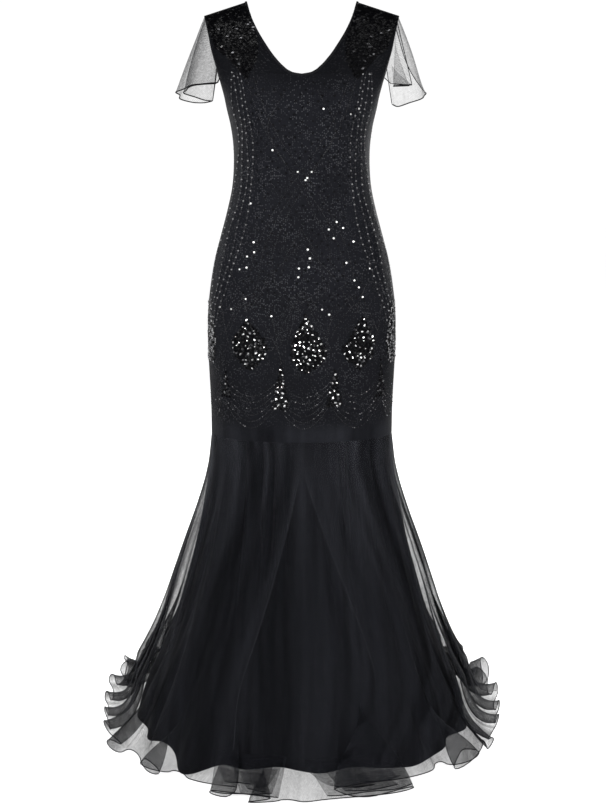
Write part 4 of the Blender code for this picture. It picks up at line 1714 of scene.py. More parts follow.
@dataclass
class Body:
    """Beaded body, front and back, with its neck binding."""

    form: BodyForm = field(default_factory=BodyForm)
    thickness: float = 0.0014
    columns: int = 40
    row_height: float = 0.0055
    chest_step: float = 0.028
    strap_rows: int = 45
    binding_width: float = 0.0044
    binding_height: float = 0.0012
    # share across the binding, share of its height
    binding_section: Path = (
        (0.0, 0.0), (0.0, 0.62), (0.10, 0.92), (0.35, 1.0),
        (0.65, 0.96), (0.88, 0.78), (1.0, 0.30), (1.0, 0.0),
    )
    # width of the binding's flat cut, and how much of it shows
    binding_cut: float = 0.012
    binding_shows: float = 0.0066
    seam_gap: float = 0.0003
    # width and length of each panel's flat cut, and the flat area inside its curved edges
    cut: tuple[float, float] = (0.50, 0.83)
    cut_area: float = 0.315

    def build(self, finishes: Wardrobe) -> dict[Side, Piece]:
        """Builds both panels on shared seams.

        Args:
            finishes: The gown's finishes.

        Returns:
            The front and back panels.
        """
        cloth = Cloth()
        seams: Array | None = None
        shoulders: dict[int, Array] = {}
        for side in Side:
            chest = self.chest(side)
            grid = np.vstack([chest, self.fitted_part(side)])
            numbers = cloth.add(grid)
            if seams is None:
                seams = numbers[len(chest) :, [0, -1]]
            else:
                numbers[len(chest) :, [0, -1]] = seams
            cloth.fill("cloth_body_" + side.value, numbers, flat_places(grid), side is Side.BACK)
            for way in (-1, 1):
                self.lay_strap(cloth, side, way, numbers[0], shoulders)
        cloth.close()
        made = {}
        for side in Side:
            points, faces, flat = cloth.solid("cloth_body_" + side.value, self.thickness)
            piece = add_mesh("cloth_body_" + side.value, points, faces, finishes.beaded, flat)
            made[side] = wear(piece, ("body_" + side.value,))
        return made

    def fitted_part(self, side: Side) -> Array:
        """Points of a panel from the underarm down to its lower edge.

        Args:
            side: Front or back.

        Returns:
            A grid of points.
        """
        turns = np.linspace(-1, 1, 2 * self.columns + 1)[None]
        count = int(round((self.form.underarm - self.form.hem) / self.row_height))
        heights = np.linspace(self.form.underarm, self.form.hem, count + 1)[:, None]
        return self.form.below(turns, heights, side)

    def chest(self, side: Side) -> Array:
        """Points of a panel from its V's point down to just above the underarm.

        Args:
            side: Front or back.

        Returns:
            A grid of points.
        """
        v_share = self.form.v_share(side)
        spread = np.linspace(0, 1, self.columns + 1)[None]
        rows = max(int(v_share / self.chest_step), 3)
        shares = np.linspace(v_share, 0, rows, endpoint=False)[:, None]
        right = self.form.above(spread, shares, side, 1)
        left = self.form.above(spread, shares, side, -1)
        return np.concatenate([left[:, ::-1], right[:, 1:]], axis=1)

    def lay_strap(
        self, cloth: Cloth, side: Side, way: int, joint: Array, shoulders: dict[int, Array]
    ) -> None:
        """Lays the part of a panel between its V and one armhole.

        Args:
            cloth: The body's cloth.
            side: Front or back.
            way: -1 or 1 along X.
            joint: Numbers of the points at the height of the V's point.
            shoulders: Numbers of each shoulder's points, which the front notes and the back shares.
        """
        v_share = self.form.v_share(side)
        spread = np.linspace(0, 1, self.columns + 1)[None]
        steps = np.linspace(0, 1, self.strap_rows + 1)[1:] ** 1.25
        shares = (v_share + (1 - v_share) * steps)[::-1, None]
        grid = self.form.above(spread, shares, side, way)
        if way < 0:
            grid = grid[:, ::-1]
            joint = joint[: self.columns + 1]
        else:
            joint = joint[self.columns :]
        upper = cloth.add(grid)
        if side is Side.BACK:
            upper[0] = shoulders[way]
        else:
            shoulders[way] = upper[0]
        places = np.concatenate([grid, cloth.places(joint)[None]])
        laid = flat_places(places, self.columns if way < 0 else 0)
        laid[..., 1] -= laid[-1, 0, 1]
        cloth.fill("cloth_body_" + side.value, np.vstack([upper, joint]), laid, side is Side.BACK)

    def neckline(self, side: Side, count: int = 150) -> tuple[Array, Array, Array]:
        """Points along a neckline, with directions out of the cloth and into it.

        Args:
            side: Front or back.
            count: Points on each half.

        Returns:
            Middle line of the edge, outward directions and directions into the cloth.
        """
        v_share = self.form.v_share(side)
        shares = v_share + (1 - v_share) * np.linspace(0.0015, 1, count) ** 1.5
        step = 0.02
        halves = []
        for way in (-1, 1):
            edge = self.form.above(np.zeros_like(shares), shares, side, way)
            inner = self.form.above(np.full_like(shares, step), shares, side, way)
            along = unit(np.gradient(edge, axis=0))
            across = inner - edge
            across = unit(across - along * (across * along).sum(1, keepdims=True))
            out = unit(np.cross(across, along))
            facing = -1.0 if side is Side.FRONT else 1.0
            out = out * np.sign(out[:, 1:2] * facing + out[:, 2:3] * 0.3)
            halves.append((edge, out, across))
        return tuple(np.vstack([left[::-1], right]) for left, right in zip(*halves))

    def bind(self, finishes: Wardrobe) -> None:
        """Lays the narrow rounded binding round each neckline.

        Args:
            finishes: The gown's finishes.
        """
        for side in Side:
            edge, out, across = self.neckline(side)
            base = edge + out * (self.thickness / 2 + self.seam_gap)
            rings = [
                base + across * width * self.binding_width + out * height * self.binding_height
                for width, height in self.binding_section
            ]
            grid = np.stack(rings, axis=1)
            count, sides = grid.shape[:2]
            total = count * sides
            faces = ring_faces(count, sides).tolist()
            faces += [list(range(sides)), list(range(total - 1, total - sides - 1, -1))]
            name = "binding_neck_" + side.value
            piece = add_mesh(name, grid.reshape(-1, 3), faces, finishes.binding, crisp=55)
            wear(piece, ("neck_binding_" + side.value,))


@dataclass(frozen=True)
class Flounce:
    """One layer of a sleeve: its stretch of the armhole seam and its hem.

    The hem's rows hold the share from its first edge to its last, then X, Y and height of the hem,
    with X for the sleeve on the wearer's left. The flutes are how often it waves, how far, and the
    turn at which the first wave starts.
    """

    seam: tuple[float, float]
    hem: Profile
    flutes: tuple[float, float, float] = (4.5, 0.0040, 0.8)
    inset: float = 0.0
    bow: float = 0.003
    drawn: float = 0.0


FULL_HEM = Profile((
    (0.00, 0.152, -0.053, 1.283),
    (0.14, 0.172, -0.073, 1.281),
    (0.30, 0.202, -0.071, 1.277),
    (0.44, 0.224, -0.038, 1.268),
    (0.54, 0.230, 0.000, 1.264),
    (0.66, 0.227, 0.034, 1.257),
    (0.80, 0.210, 0.064, 1.250),
    (0.92, 0.184, 0.066, 1.249),
    (1.00, 0.168, 0.058, 1.252),
))
INNER_HEM = Profile((
    (0.00, 0.156, -0.049, 1.281),
    (0.14, 0.171, -0.066, 1.280),
    (0.30, 0.196, -0.063, 1.277),
    (0.44, 0.213, -0.034, 1.270),
    (0.54, 0.2185, 0.000, 1.268),
    (0.66, 0.214, 0.028, 1.264),
    (0.80, 0.198, 0.055, 1.258),
    (0.92, 0.180, 0.060, 1.253),
    (1.00, 0.168, 0.056, 1.252),
))
# the wearer's left sleeve has its front flounce drawn in towards the body
DRAWN_FRONT_HEM = Profile((
    (0.00, 0.162, -0.056, 1.2810),
    (0.18, 0.1985, -0.064, 1.2785),
    (0.21, 0.1995, -0.061, 1.2790),
    (0.38, 0.168, -0.058, 1.2770),
    (0.41, 0.167, -0.055, 1.2770),
    (0.58, 0.194, -0.054, 1.2775),
    (0.61, 0.195, -0.051, 1.2775),
    (0.78, 0.168, -0.049, 1.2765),
    (0.81, 0.167, -0.046, 1.2765),
    (1.00, 0.2010, -0.044, 1.2790),
))
WRAP_HEM = Profile((
    (0.00, 0.224, -0.030, 1.267),
    (0.08, 0.228, -0.016, 1.265),
    (0.18, 0.2305, 0.004, 1.263),
    (0.34, 0.227, 0.026, 1.259),
    (0.52, 0.214, 0.050, 1.252),
    (0.70, 0.196, 0.062, 1.246),
    (0.88, 0.180, 0.062, 1.242),
    (1.00, 0.170, 0.056, 1.246),
))


@dataclass
class Sleeve:
    """One flutter sleeve of tulle flounces, with rolled edges and the seam that holds it."""

    hand: Hand
    body: BodyForm
    front_end: float = 0.309
    back_end: float = 0.500
    rows: int = 34
    columns: int = 90
    edge_radius: float = 0.00075
    # width and length of the flat cut of both layers, and the flat area inside its curved edges
    cut: tuple[float, float] = (0.36, 0.15)
    cut_area: float = 0.042
    # how much of the cloth shows where the sleeve is drawn together
    drawn_share: float = 0.62

    def flounces(self) -> tuple[Flounce, ...]:
        """The sleeve's layers: two full ones, or a drawn front with a wrapped back."""
        if self.hand is Hand.RIGHT:
            return (
                Flounce((0.0, 1.0), FULL_HEM),
                Flounce((0.0, 1.0), INNER_HEM, (3.0, 0.0030, 2.1), 0.0020),
            )
        return (
            Flounce((0.0, 0.46), DRAWN_FRONT_HEM, (1.0, 0.0, 0.4), 0.0, 0.0),
            Flounce((0.40, 1.0), WRAP_HEM, (2.5, 0.0030, 1.2), 0.0010, 0.005, 0.009),
        )

    def seam(self) -> Array:
        """Points of the armhole that the sleeve is sewn to, from its front end to its back end."""
        way = self.hand.value
        front = self.body.armhole(np.linspace(self.front_end, 1, 60), Side.FRONT, way)
        back = self.body.armhole(np.linspace(1, self.back_end, 50)[1:], Side.BACK, way)
        return np.vstack([front, back])

    def surface(self, flounce: Flounce, seam: Array) -> Array:
        """Points of one flounce in rows from its seam to its hem.

        Args:
            flounce: The layer.
            seam: Points of the whole armhole.

        Returns:
            A grid of points.
        """
        way = self.hand.value
        reach = np.concatenate([[0], np.cumsum(np.linalg.norm(np.diff(seam, axis=0), axis=1))])
        first, last = flounce.seam
        count = max(int(self.columns * (last - first)), 24)
        share = np.linspace(0, 1, count + 1)
        places = (first + (last - first) * share) * reach[-1]
        start = np.stack([np.interp(places, reach, seam[:, axis]) for axis in range(3)], 1)
        start[:, 0] -= way * flounce.inset
        down = np.linspace(0, 1, self.rows + 1)[:, None]
        end = np.stack([flounce.hem.at(axis, share) for axis in (1, 2, 3)], 1)
        end[:, 0] *= way
        grid = start[None] + (end - start)[None] * down[..., None]
        arch = np.sin(math.pi * np.clip(share * 0.94 + 0.03, 0, 1))[None]
        often, far, turn = flounce.flutes
        wave = np.sin(FULL_TURN * often * share + turn)[None]
        swell = flounce.bow * np.sin(math.pi * down) * arch + far * down**1.5 * wave * arch
        along = unit(np.gradient(end, axis=0))
        away = unit(np.stack([along[:, 1], -along[:, 0], 0 * share], 1)) * way
        grid = grid + swell[..., None] * away[None]
        grid[..., 0] -= way * flounce.drawn * np.sin(math.pi * down**1.3) * np.exp(-((share / 0.14) ** 2))
        return grid

    def build(self, finishes: Wardrobe) -> Piece:
        """Builds the sleeve and its edges.

        Args:
            finishes: The gown's finishes.

        Returns:
            The sleeve.
        """
        cloth = Cloth()
        seam = self.seam()
        hand = self.hand.name.lower()
        name = "cloth_sleeve_" + hand
        edges = [tube(seam, self.edge_radius * 1.4)]
        for flounce in self.flounces():
            grid = self.surface(flounce, seam)
            cloth.fill(name, cloth.add(grid), flat_places(grid), self.hand is Hand.RIGHT)
            edges.append(tube(grid[-1], self.edge_radius * 1.5))
            edges += [tube(grid[:, place], self.edge_radius) for place in (0, -1)]
        cloth.close()
        points, _, faces, flat = cloth.panel(name)
        sleeve = wear(
            add_mesh(name, points, faces, finishes.fine_tulle, flat, 80),
            ("sleeve_" + hand,),
        )
        hem = wear(add_mesh("edge_sleeve_" + hand, *join_parts(edges), finishes.thread))
        return sleeve


@dataclass(frozen=True)
class Cut:
    """Flat cut of a skirt's panel: width and length, the area inside its curved edges, and its node."""

    size: tuple[float, float]
    area: float
    node: str


OVERSKIRT_CUTS = {
    "front": Cut((1.30, 0.70), 0.500, "overskirt_front"),
    "godet": Cut((0.46, 0.80), 0.165, "godet_front"),
    "back": Cut((2.30, 0.82), 0.800, "overskirt_back"),
}
LINING_CUTS = {
    "front": Cut((0.92, 0.62), 0.410, "lining_front"),
    "back": Cut((1.05, 0.68), 0.420, "lining_back"),
}


@dataclass
class Overskirt:
    """Tulle overskirt: front slit for the godet, back, and the godet itself."""

    form: OverskirtForm = field(default_factory=OverskirtForm)
    side_columns: int = 118
    godet_columns: int = 92
    back_columns: int = 324
    # rows down to the godet's top, on down to where the ruffle starts, and in the ruffle
    apex_row: int = 6
    middle_rows: int = 25
    ruffle_rows: int = 51
    ruffle_top: float = 0.300
    hem_radius: float = 0.00095
    seam_radius: float = 0.00055
    godet_seam_radius: float = 0.00065
    # the godet's seams show from here down to where the cloth doubles back over them
    seam_top: float = 0.57
    seam_feet: tuple[float, float] = (0.070, 0.200)
    flap_top: float = 0.072
    flap_step: float = 0.004
    flap_rows: int = 16
    flap_gap: float = 0.0022
    # edges of the inner folds behind the front hem, in degrees at their top and at their hem
    flaps: tuple[tuple[float, float, float, float], ...] = (
        (-24.0, -22.6, -3.4, -5.0),
        (0.5, 5.5, 27.0, 29.0),
        (-19.5, -14.5, -4.5, -6.5),
        (4.0, 10.0, 20.0, 24.5),
        (-17.5, -13.0, -7.0, -8.0),
        (9.0, 12.5, 15.0, 18.5),
        (-15.0, -11.5, -5.5, -8.5),
        (1.5, 7.5, 12.0, 15.5),
        (-23.0, -19.0, -9.0, -12.0),
        (14.0, 15.5, 25.0, 27.0),
    )

    def heights(self) -> Array:
        """Heights of the rows, closer together towards the ruffled hem."""
        upper = np.linspace(BODY_HEM, GODET_TOP, self.apex_row + 1)
        middle = np.linspace(GODET_TOP, self.ruffle_top, self.middle_rows + 1)[1:]
        lower = np.linspace(self.ruffle_top, SKIRT_HEM, self.ruffle_rows + 1)[1:]
        return np.concatenate([upper, middle, lower])[:, None]

    def flap(self, edges: tuple[float, float, float, float], order: int) -> Array:
        """Points of a short inner flap of tulle, just inside the front.

        Args:
            edges: Its left edge at top and hem and its right edge at top and hem, in degrees.
            order: Which flap it is, so that its ripples differ.

        Returns:
            A grid of points.
        """
        top = self.flap_top - self.flap_step * order
        heights = np.linspace(top, SKIRT_HEM, self.flap_rows + 1)[:, None]
        down = (top - heights) / (top - SKIRT_HEM)
        left = edges[0] + (edges[1] - edges[0]) * down
        right = edges[2] + (edges[3] - edges[2]) * down
        columns = max(int(abs(edges[3] - edges[1]) * 3), 12)
        angle = np.radians(left + (right - left) * np.linspace(0, 1, columns + 1)[None])
        form = self.form
        out = form.outward(angle, heights)[0]
        ripple = 0.0030 * down * np.sin(16 * angle + 2.4 * order) - self.flap_gap * (1 + order) - 0.002 * down
        way_down = np.clip((form.spread_top - heights) / (form.spread_top - SKIRT_HEM), 0, 1)
        shift = ripple + hand_folds(angle, heights) + form.front_kick * way_down**2
        place = form.base(angle, heights) + out * shift[..., None]
        place[..., 2] += down**3 * (0.002 + 0.0016 * order + 0.0022 * np.sin(21 * angle + 1.7 * order))
        return place

    def grids(self) -> tuple[Array, Array, Array, Array]:
        """Points of the front's two halves, the godet and the back, in rows from top to hem."""
        form, heights, apex = self.form, self.heights(), self.apex_row
        share = np.linspace(0, 1, self.side_columns + 1)[None]
        left_end = form.godet_angle(heights, -1)
        right_end = form.godet_angle(heights, 1)
        across = np.linspace(0, 1, self.godet_columns + 1)[None]
        inner = left_end[apex:] + (right_end - left_end)[apex:] * across
        around = np.linspace(QUARTER_TURN, 3 * QUARTER_TURN, self.back_columns + 1)[None]
        return (
            form.point(-QUARTER_TURN + (left_end + QUARTER_TURN) * share, heights),
            form.point(right_end + (QUARTER_TURN - right_end) * share, heights),
            form.point(inner, heights[apex:]),
            form.point(around, heights),
        )

    def join(self, grids: tuple[Array, Array, Array, Array], flaps: list[Array]) -> Cloth:
        """Spans the panels with faces that share their points along the seams.

        Args:
            grids: Points of the front's two halves, the godet and the back.
            flaps: Points of the inner folds.

        Returns:
            The closed cloth.
        """
        cloth, apex = Cloth(), self.apex_row
        left, right, godet, back = (cloth.add(grid) for grid in grids)
        right[: apex + 1, 0] = left[: apex + 1, -1]
        godet[:, 0] = left[apex:, -1]
        godet[:, -1] = right[apex:, 0]
        back[:, 0] = right[:, -1]
        back[:, -1] = left[:, 0]
        cloth.fill("front", left, flat_places(grids[0], self.side_columns))
        cloth.fill("front", right, flat_places(grids[1], 0))
        for flap in flaps:
            cloth.fill("godet", cloth.add(flap), flat_places(flap))
        cloth.fill("godet", godet, flat_places(grids[2]))
        cloth.fill("back", back, flat_places(grids[3]))
        cloth.close()
        return cloth

    def godet_seams(self, godet: Array) -> list[tuple[Array, Array]]:
        """Cords along the godet's two seams, where they show."""
        heights = self.heights()[self.apex_row :, 0]
        return [
            tube(godet[(heights > foot) & (heights < self.seam_top), place], self.godet_seam_radius, 5)
            for place, foot in zip((0, -1), self.seam_feet)
        ]

    def build(self, finishes: Wardrobe) -> None:
        """Builds the three panels, their rolled hems and seams.

        Args:
            finishes: The gown's finishes.
        """
        flaps = [self.flap(edges, order) for order, edges in enumerate(self.flaps)]
        grids = self.grids()
        left, right, godet, back = grids
        cloth = self.join(grids, flaps)
        edges = {
            "front": (left[-1], right[-1]),
            "godet": (godet[-1], *(flap[-1] for flap in flaps)),
            "back": (back[-1],),
        }
        seams = {"front": (back[:, 0], back[:, -1]), "godet": (), "back": ()}
        for name, cut in OVERSKIRT_CUTS.items():
            points, _, faces, flat = cloth.panel(name)
            piece = wear(
                add_mesh("cloth_overskirt_" + name, points, faces, finishes.tulle, flat, 80),
                (cut.node,),
            )
            parts = [tube(line, self.hem_radius) for line in edges[name]]
            parts += [tube(line, self.seam_radius, 5) for line in seams[name]]
            hem = wear(add_mesh("hem_overskirt_" + name, *join_parts(parts), finishes.thread))
        cords = join_parts(self.godet_seams(godet))
        wear(add_mesh("seams_overskirt_godet", *cords, finishes.seam))


@dataclass
class Lining:
    """Opaque lining skirt, front and back."""

    form: LiningForm = field(default_factory=LiningForm)
    thickness: float = 0.0012
    columns: int = 150
    rows: int = 64

    def build(self, finishes: Wardrobe) -> None:
        """Builds both panels.

        Args:
            finishes: The gown's finishes.
        """
        heights = np.linspace(self.form.top, self.form.hem, self.rows + 1)[:, None]
        cloth = Cloth()
        turn = np.linspace(-QUARTER_TURN, QUARTER_TURN, self.columns + 1)[None]
        front = self.form.point(turn, heights)
        back = self.form.point(turn + math.pi, heights)
        front_numbers, back_numbers = cloth.add(front), cloth.add(back)
        back_numbers[:, 0] = front_numbers[:, -1]
        back_numbers[:, -1] = front_numbers[:, 0]
        cloth.fill("front", front_numbers, flat_places(front))
        cloth.fill("back", back_numbers, flat_places(back))
        cloth.close()
        for name, cut in LINING_CUTS.items():
            points, faces, flat = cloth.solid(name, self.thickness)
            piece = wear(
                add_mesh("cloth_lining_" + name, points, faces, finishes.lining, flat),
                (cut.node,),
            )


# Beading


class Ground:
    """Outer face of a body panel, for laying sequins and beads on it."""

    def __init__(self, panel: Piece, side: Side) -> None:
        """Reads the made panel."""
        points = [vertex.co + Vector((0, 0, REST)) for vertex in panel.data.vertices]
        faces = [tuple(polygon.vertices) for polygon in panel.data.polygons]
        self.tree = BVHTree.FromPolygons(points, faces)
        self.facing = -1.0 if side is Side.FRONT else 1.0

    def lay(self, places: Array) -> tuple[Array, Array]:
        """Finds where places in X and height meet the cloth.

        Args:
            places: X and height of each, one row each.

        Returns:
            Points on the cloth and its directions there, for those that meet it.
        """
        found, normals = [], []
        for x, height in places:
            start = Vector((x, self.facing, height))
            hit, normal, _, _ = self.tree.ray_cast(start, Vector((0, -self.facing, 0)), 1.4)
            if hit is None or normal.y * self.facing < 0.02:
                continue
            if hit.y * self.facing < -0.002:
                continue
            found.append(hit)
            normals.append(normal)
        return np.array(found).reshape(-1, 3), np.array(normals).reshape(-1, 3)


def bead_shape() -> tuple[Array, Array]:
    """Small round bead of six sides, radius 1."""
    points, faces = [(0.0, 0.0, 0.85)], []
    for level, width in ((0.45, 0.85), (-0.45, 0.85)):
        for turn in range(6):
            angle = math.radians(60 * turn)
            points.append((width * math.cos(angle), width * math.sin(angle), level))
    points.append((0.0, 0.0, -0.85))
    for turn in range(6):
        after = (turn + 1) % 6
        faces.append((0, 1 + turn, 1 + after))
        faces.append((1 + turn, 7 + turn, 7 + after))
        faces.append((1 + turn, 7 + after, 1 + after))
        faces.append((13, 7 + after, 7 + turn))
    return np.array(points), np.array(faces)


def sequin_shape() -> tuple[Array, Array]:
    """Cupped eight-sided sequin, radius 1."""
    points = [(0.0, 0.0, 0.04)]
    for turn in range(8):
        angle = math.radians(45 * turn)
        points.append((math.cos(angle), math.sin(angle), 0.20))
    points.append((0.0, 0.0, -0.10))
    faces = []
    for turn in range(8):
        after = (turn + 1) % 8
        faces.append((0, 1 + turn, 1 + after))
        faces.append((9, 1 + after, 1 + turn))
    return np.array(points), np.array(faces)


@dataclass(frozen=True)
class Stitch:
    """How the copies of one kind are sewn on, in metres and radians.

    Their lift is how far their middle lies above the cloth, and their stretch how much wider than
    high they are. They lean by up to the tilt, each its own way, and by the nod, all down alike like
    shingles. They turn in their own plane by up to the spin.
    """

    radius: float
    lift: float
    tilt: float
    stretch: float = 1.0
    nod: float = 0.0
    spin: float = 0.0


STRAP_JET = Stitch(0.0026, 0.0010, 0.36, 1.30, 0.40)
STRAP_STEEL = Stitch(0.0022, 0.0014, 0.45, 1.75, 0.30, 0.5)
KITE_JET = Stitch(0.0028, 0.0010, 0.30)
KITE_STEEL = Stitch(0.0024, 0.0013, 0.40, 1.2, spin=1.2)
KITE_LARGE = Stitch(0.0015, 0.0021, 0.42, 1.55, spin=1.2)
KITE_SMALL = Stitch(0.0010, 0.0019, 0.50, 1.50, spin=1.2)
SPEAR_JET = Stitch(0.0025, 0.0010, 0.30)
SPEAR_STEEL = Stitch(0.0022, 0.0012, 0.40, 1.2, spin=1.2)
SPEAR_BRIGHT = Stitch(0.0015, 0.0020, 0.42, 1.50, spin=1.2)
CLUSTER_JET = Stitch(0.0020, 0.0009, 0.40)
CLUSTER_GREY = Stitch(0.0019, 0.0011, 0.40)
SINGLE_MATTE = Stitch(0.0022, 0.0009, 0.12)
SILVER_GLINT = Stitch(0.0018, 0.0015, 0.12, 1.1)
SIDE_BLACK = Stitch(0.00105, 0.0007, 0.2)
SIDE_GREY = Stitch(0.00160, 0.0010, 0.3)
LINE_BLACK = Stitch(0.0010, 0.0006, 0.2)
SWAG_BLACK = Stitch(0.00105, 0.0007, 0.2)
SWAG_GREY = Stitch(0.0011, 0.0008, 0.3)
SEED_BLACK = Stitch(0.0009, 0.0006, 0.2)


@dataclass
class Scatter:
    """Copies of one small shape laid on the cloth and joined to one mesh."""

    shape: tuple[Array, Array]
    points: list[Array] = field(default_factory=list)
    faces: list[Array] = field(default_factory=list)
    count: int = 0

    def add(self, places: tuple[Array, Array], stitch: Stitch, random: Random) -> None:
        """Adds a copy at each place.

        Args:
            places: Points and the cloth's directions there.
            stitch: How the copies are sewn on.
            random: The panel's seeded numbers.
        """
        centre, normal = places
        if not len(centre):
            return
        corners, faces = self.shape
        across = unit(np.cross(np.tile((0.0, 0.0, 1.0), (len(centre), 1)), normal))
        up = np.cross(normal, across)
        lean = random.uniform(0, stitch.tilt, len(centre))[:, None]
        way = random.uniform(0, FULL_TURN, len(centre))[:, None]
        normal = unit(normal + lean * (np.cos(way) * across + np.sin(way) * up) - stitch.nod * up)
        across = unit(np.cross(up, normal))
        up = np.cross(normal, across)
        if stitch.spin:
            turn = random.uniform(-stitch.spin, stitch.spin, len(centre))[:, None]
            turned = np.cos(turn) * across + np.sin(turn) * up
            up = np.cos(turn) * up - np.sin(turn) * across
            across = turned
        size = stitch.radius * random.uniform(0.88, 1.12, len(centre))[:, None]
        made = (
            centre[:, None]
            + normal[:, None] * stitch.lift
            + across[:, None] * (size * corners[None, :, 0] * stitch.stretch)[..., None]
            + up[:, None] * (size * corners[None, :, 1])[..., None]
            + normal[:, None] * (size * corners[None, :, 2])[..., None]
        )
        starts = self.count + np.arange(len(centre))[:, None, None] * len(corners)
        self.points.append(made.reshape(-1, 3))
        self.faces.append((faces[None] + starts).reshape(-1, 3))
        self.count += made.shape[0] * made.shape[1]

    def finish(self, name: str, material: Material, smooth: bool) -> Piece:
        """Makes the joined piece.

        Args:
            name: Its name.
            material: Its finish.
            smooth: Whether each copy is shaded as one curved surface.

        Returns:
            The piece.
        """
        made = add_mesh(name, np.vstack(self.points), np.vstack(self.faces), material, None, 80, smooth)
        return wear(made)


def sequins() -> Scatter:
    """Sequins of one kind, none laid yet."""
    return Scatter(sequin_shape())


def beads() -> Scatter:
    """Beads of one kind, none laid yet."""
    return Scatter(bead_shape())


@dataclass
class Tray:
    """All kinds of sequins and beads of one panel, with the cloth that they are laid on."""

    ground: Ground
    random: Random
    jet: Scatter = field(default_factory=sequins)
    matte: Scatter = field(default_factory=sequins)
    steel: Scatter = field(default_factory=sequins)
    frost: Scatter = field(default_factory=sequins)
    mirror: Scatter = field(default_factory=sequins)
    glint_silver: Scatter = field(default_factory=sequins)
    black: Scatter = field(default_factory=beads)
    bright: Scatter = field(default_factory=beads)

    def sew(self, kind: Scatter, stitch: Stitch, places: Array) -> None:
        """Lays one kind where the places meet the cloth."""
        kind.add(self.ground.lay(places), stitch, self.random)

    def mix(
        self, places: Array, share: float, first: tuple[Scatter, Stitch], second: tuple[Scatter, Stitch]
    ) -> None:
        """Lays one kind at a random share of the places and another at the rest.

        Args:
            places: X and height of each place.
            share: Share that the first kind takes.
            first: The first kind and how it is sewn on.
            second: The second kind and how it is sewn on.
        """
        some = self.random.random(len(places)) < share
        self.sew(*first, places[some])
        self.sew(*second, places[~some])

    def finish(self, name: str, finishes: Wardrobe) -> list[Piece]:
        """Makes the joined pieces.

        Args:
            name: Name of the panel.
            finishes: The gown's finishes.

        Returns:
            The pieces.
        """
        return [
            self.jet.finish("sequins_jet_" + name, finishes.jet, False),
            self.steel.finish("sequins_gunmetal_" + name, finishes.steel, False),
            self.matte.finish("sequins_matte_" + name, finishes.matte, True),
            self.frost.finish("sequins_grey_" + name, finishes.frost, False),
            self.mirror.finish("sequins_mirror_" + name, finishes.mirror, True),
            self.glint_silver.finish("sequins_silver_glint_" + name, finishes.glint_silver, True),
            self.black.finish("beads_black_" + name, finishes.bead, True),
            self.bright.finish("beads_grey_" + name, finishes.frost, True),
        ]


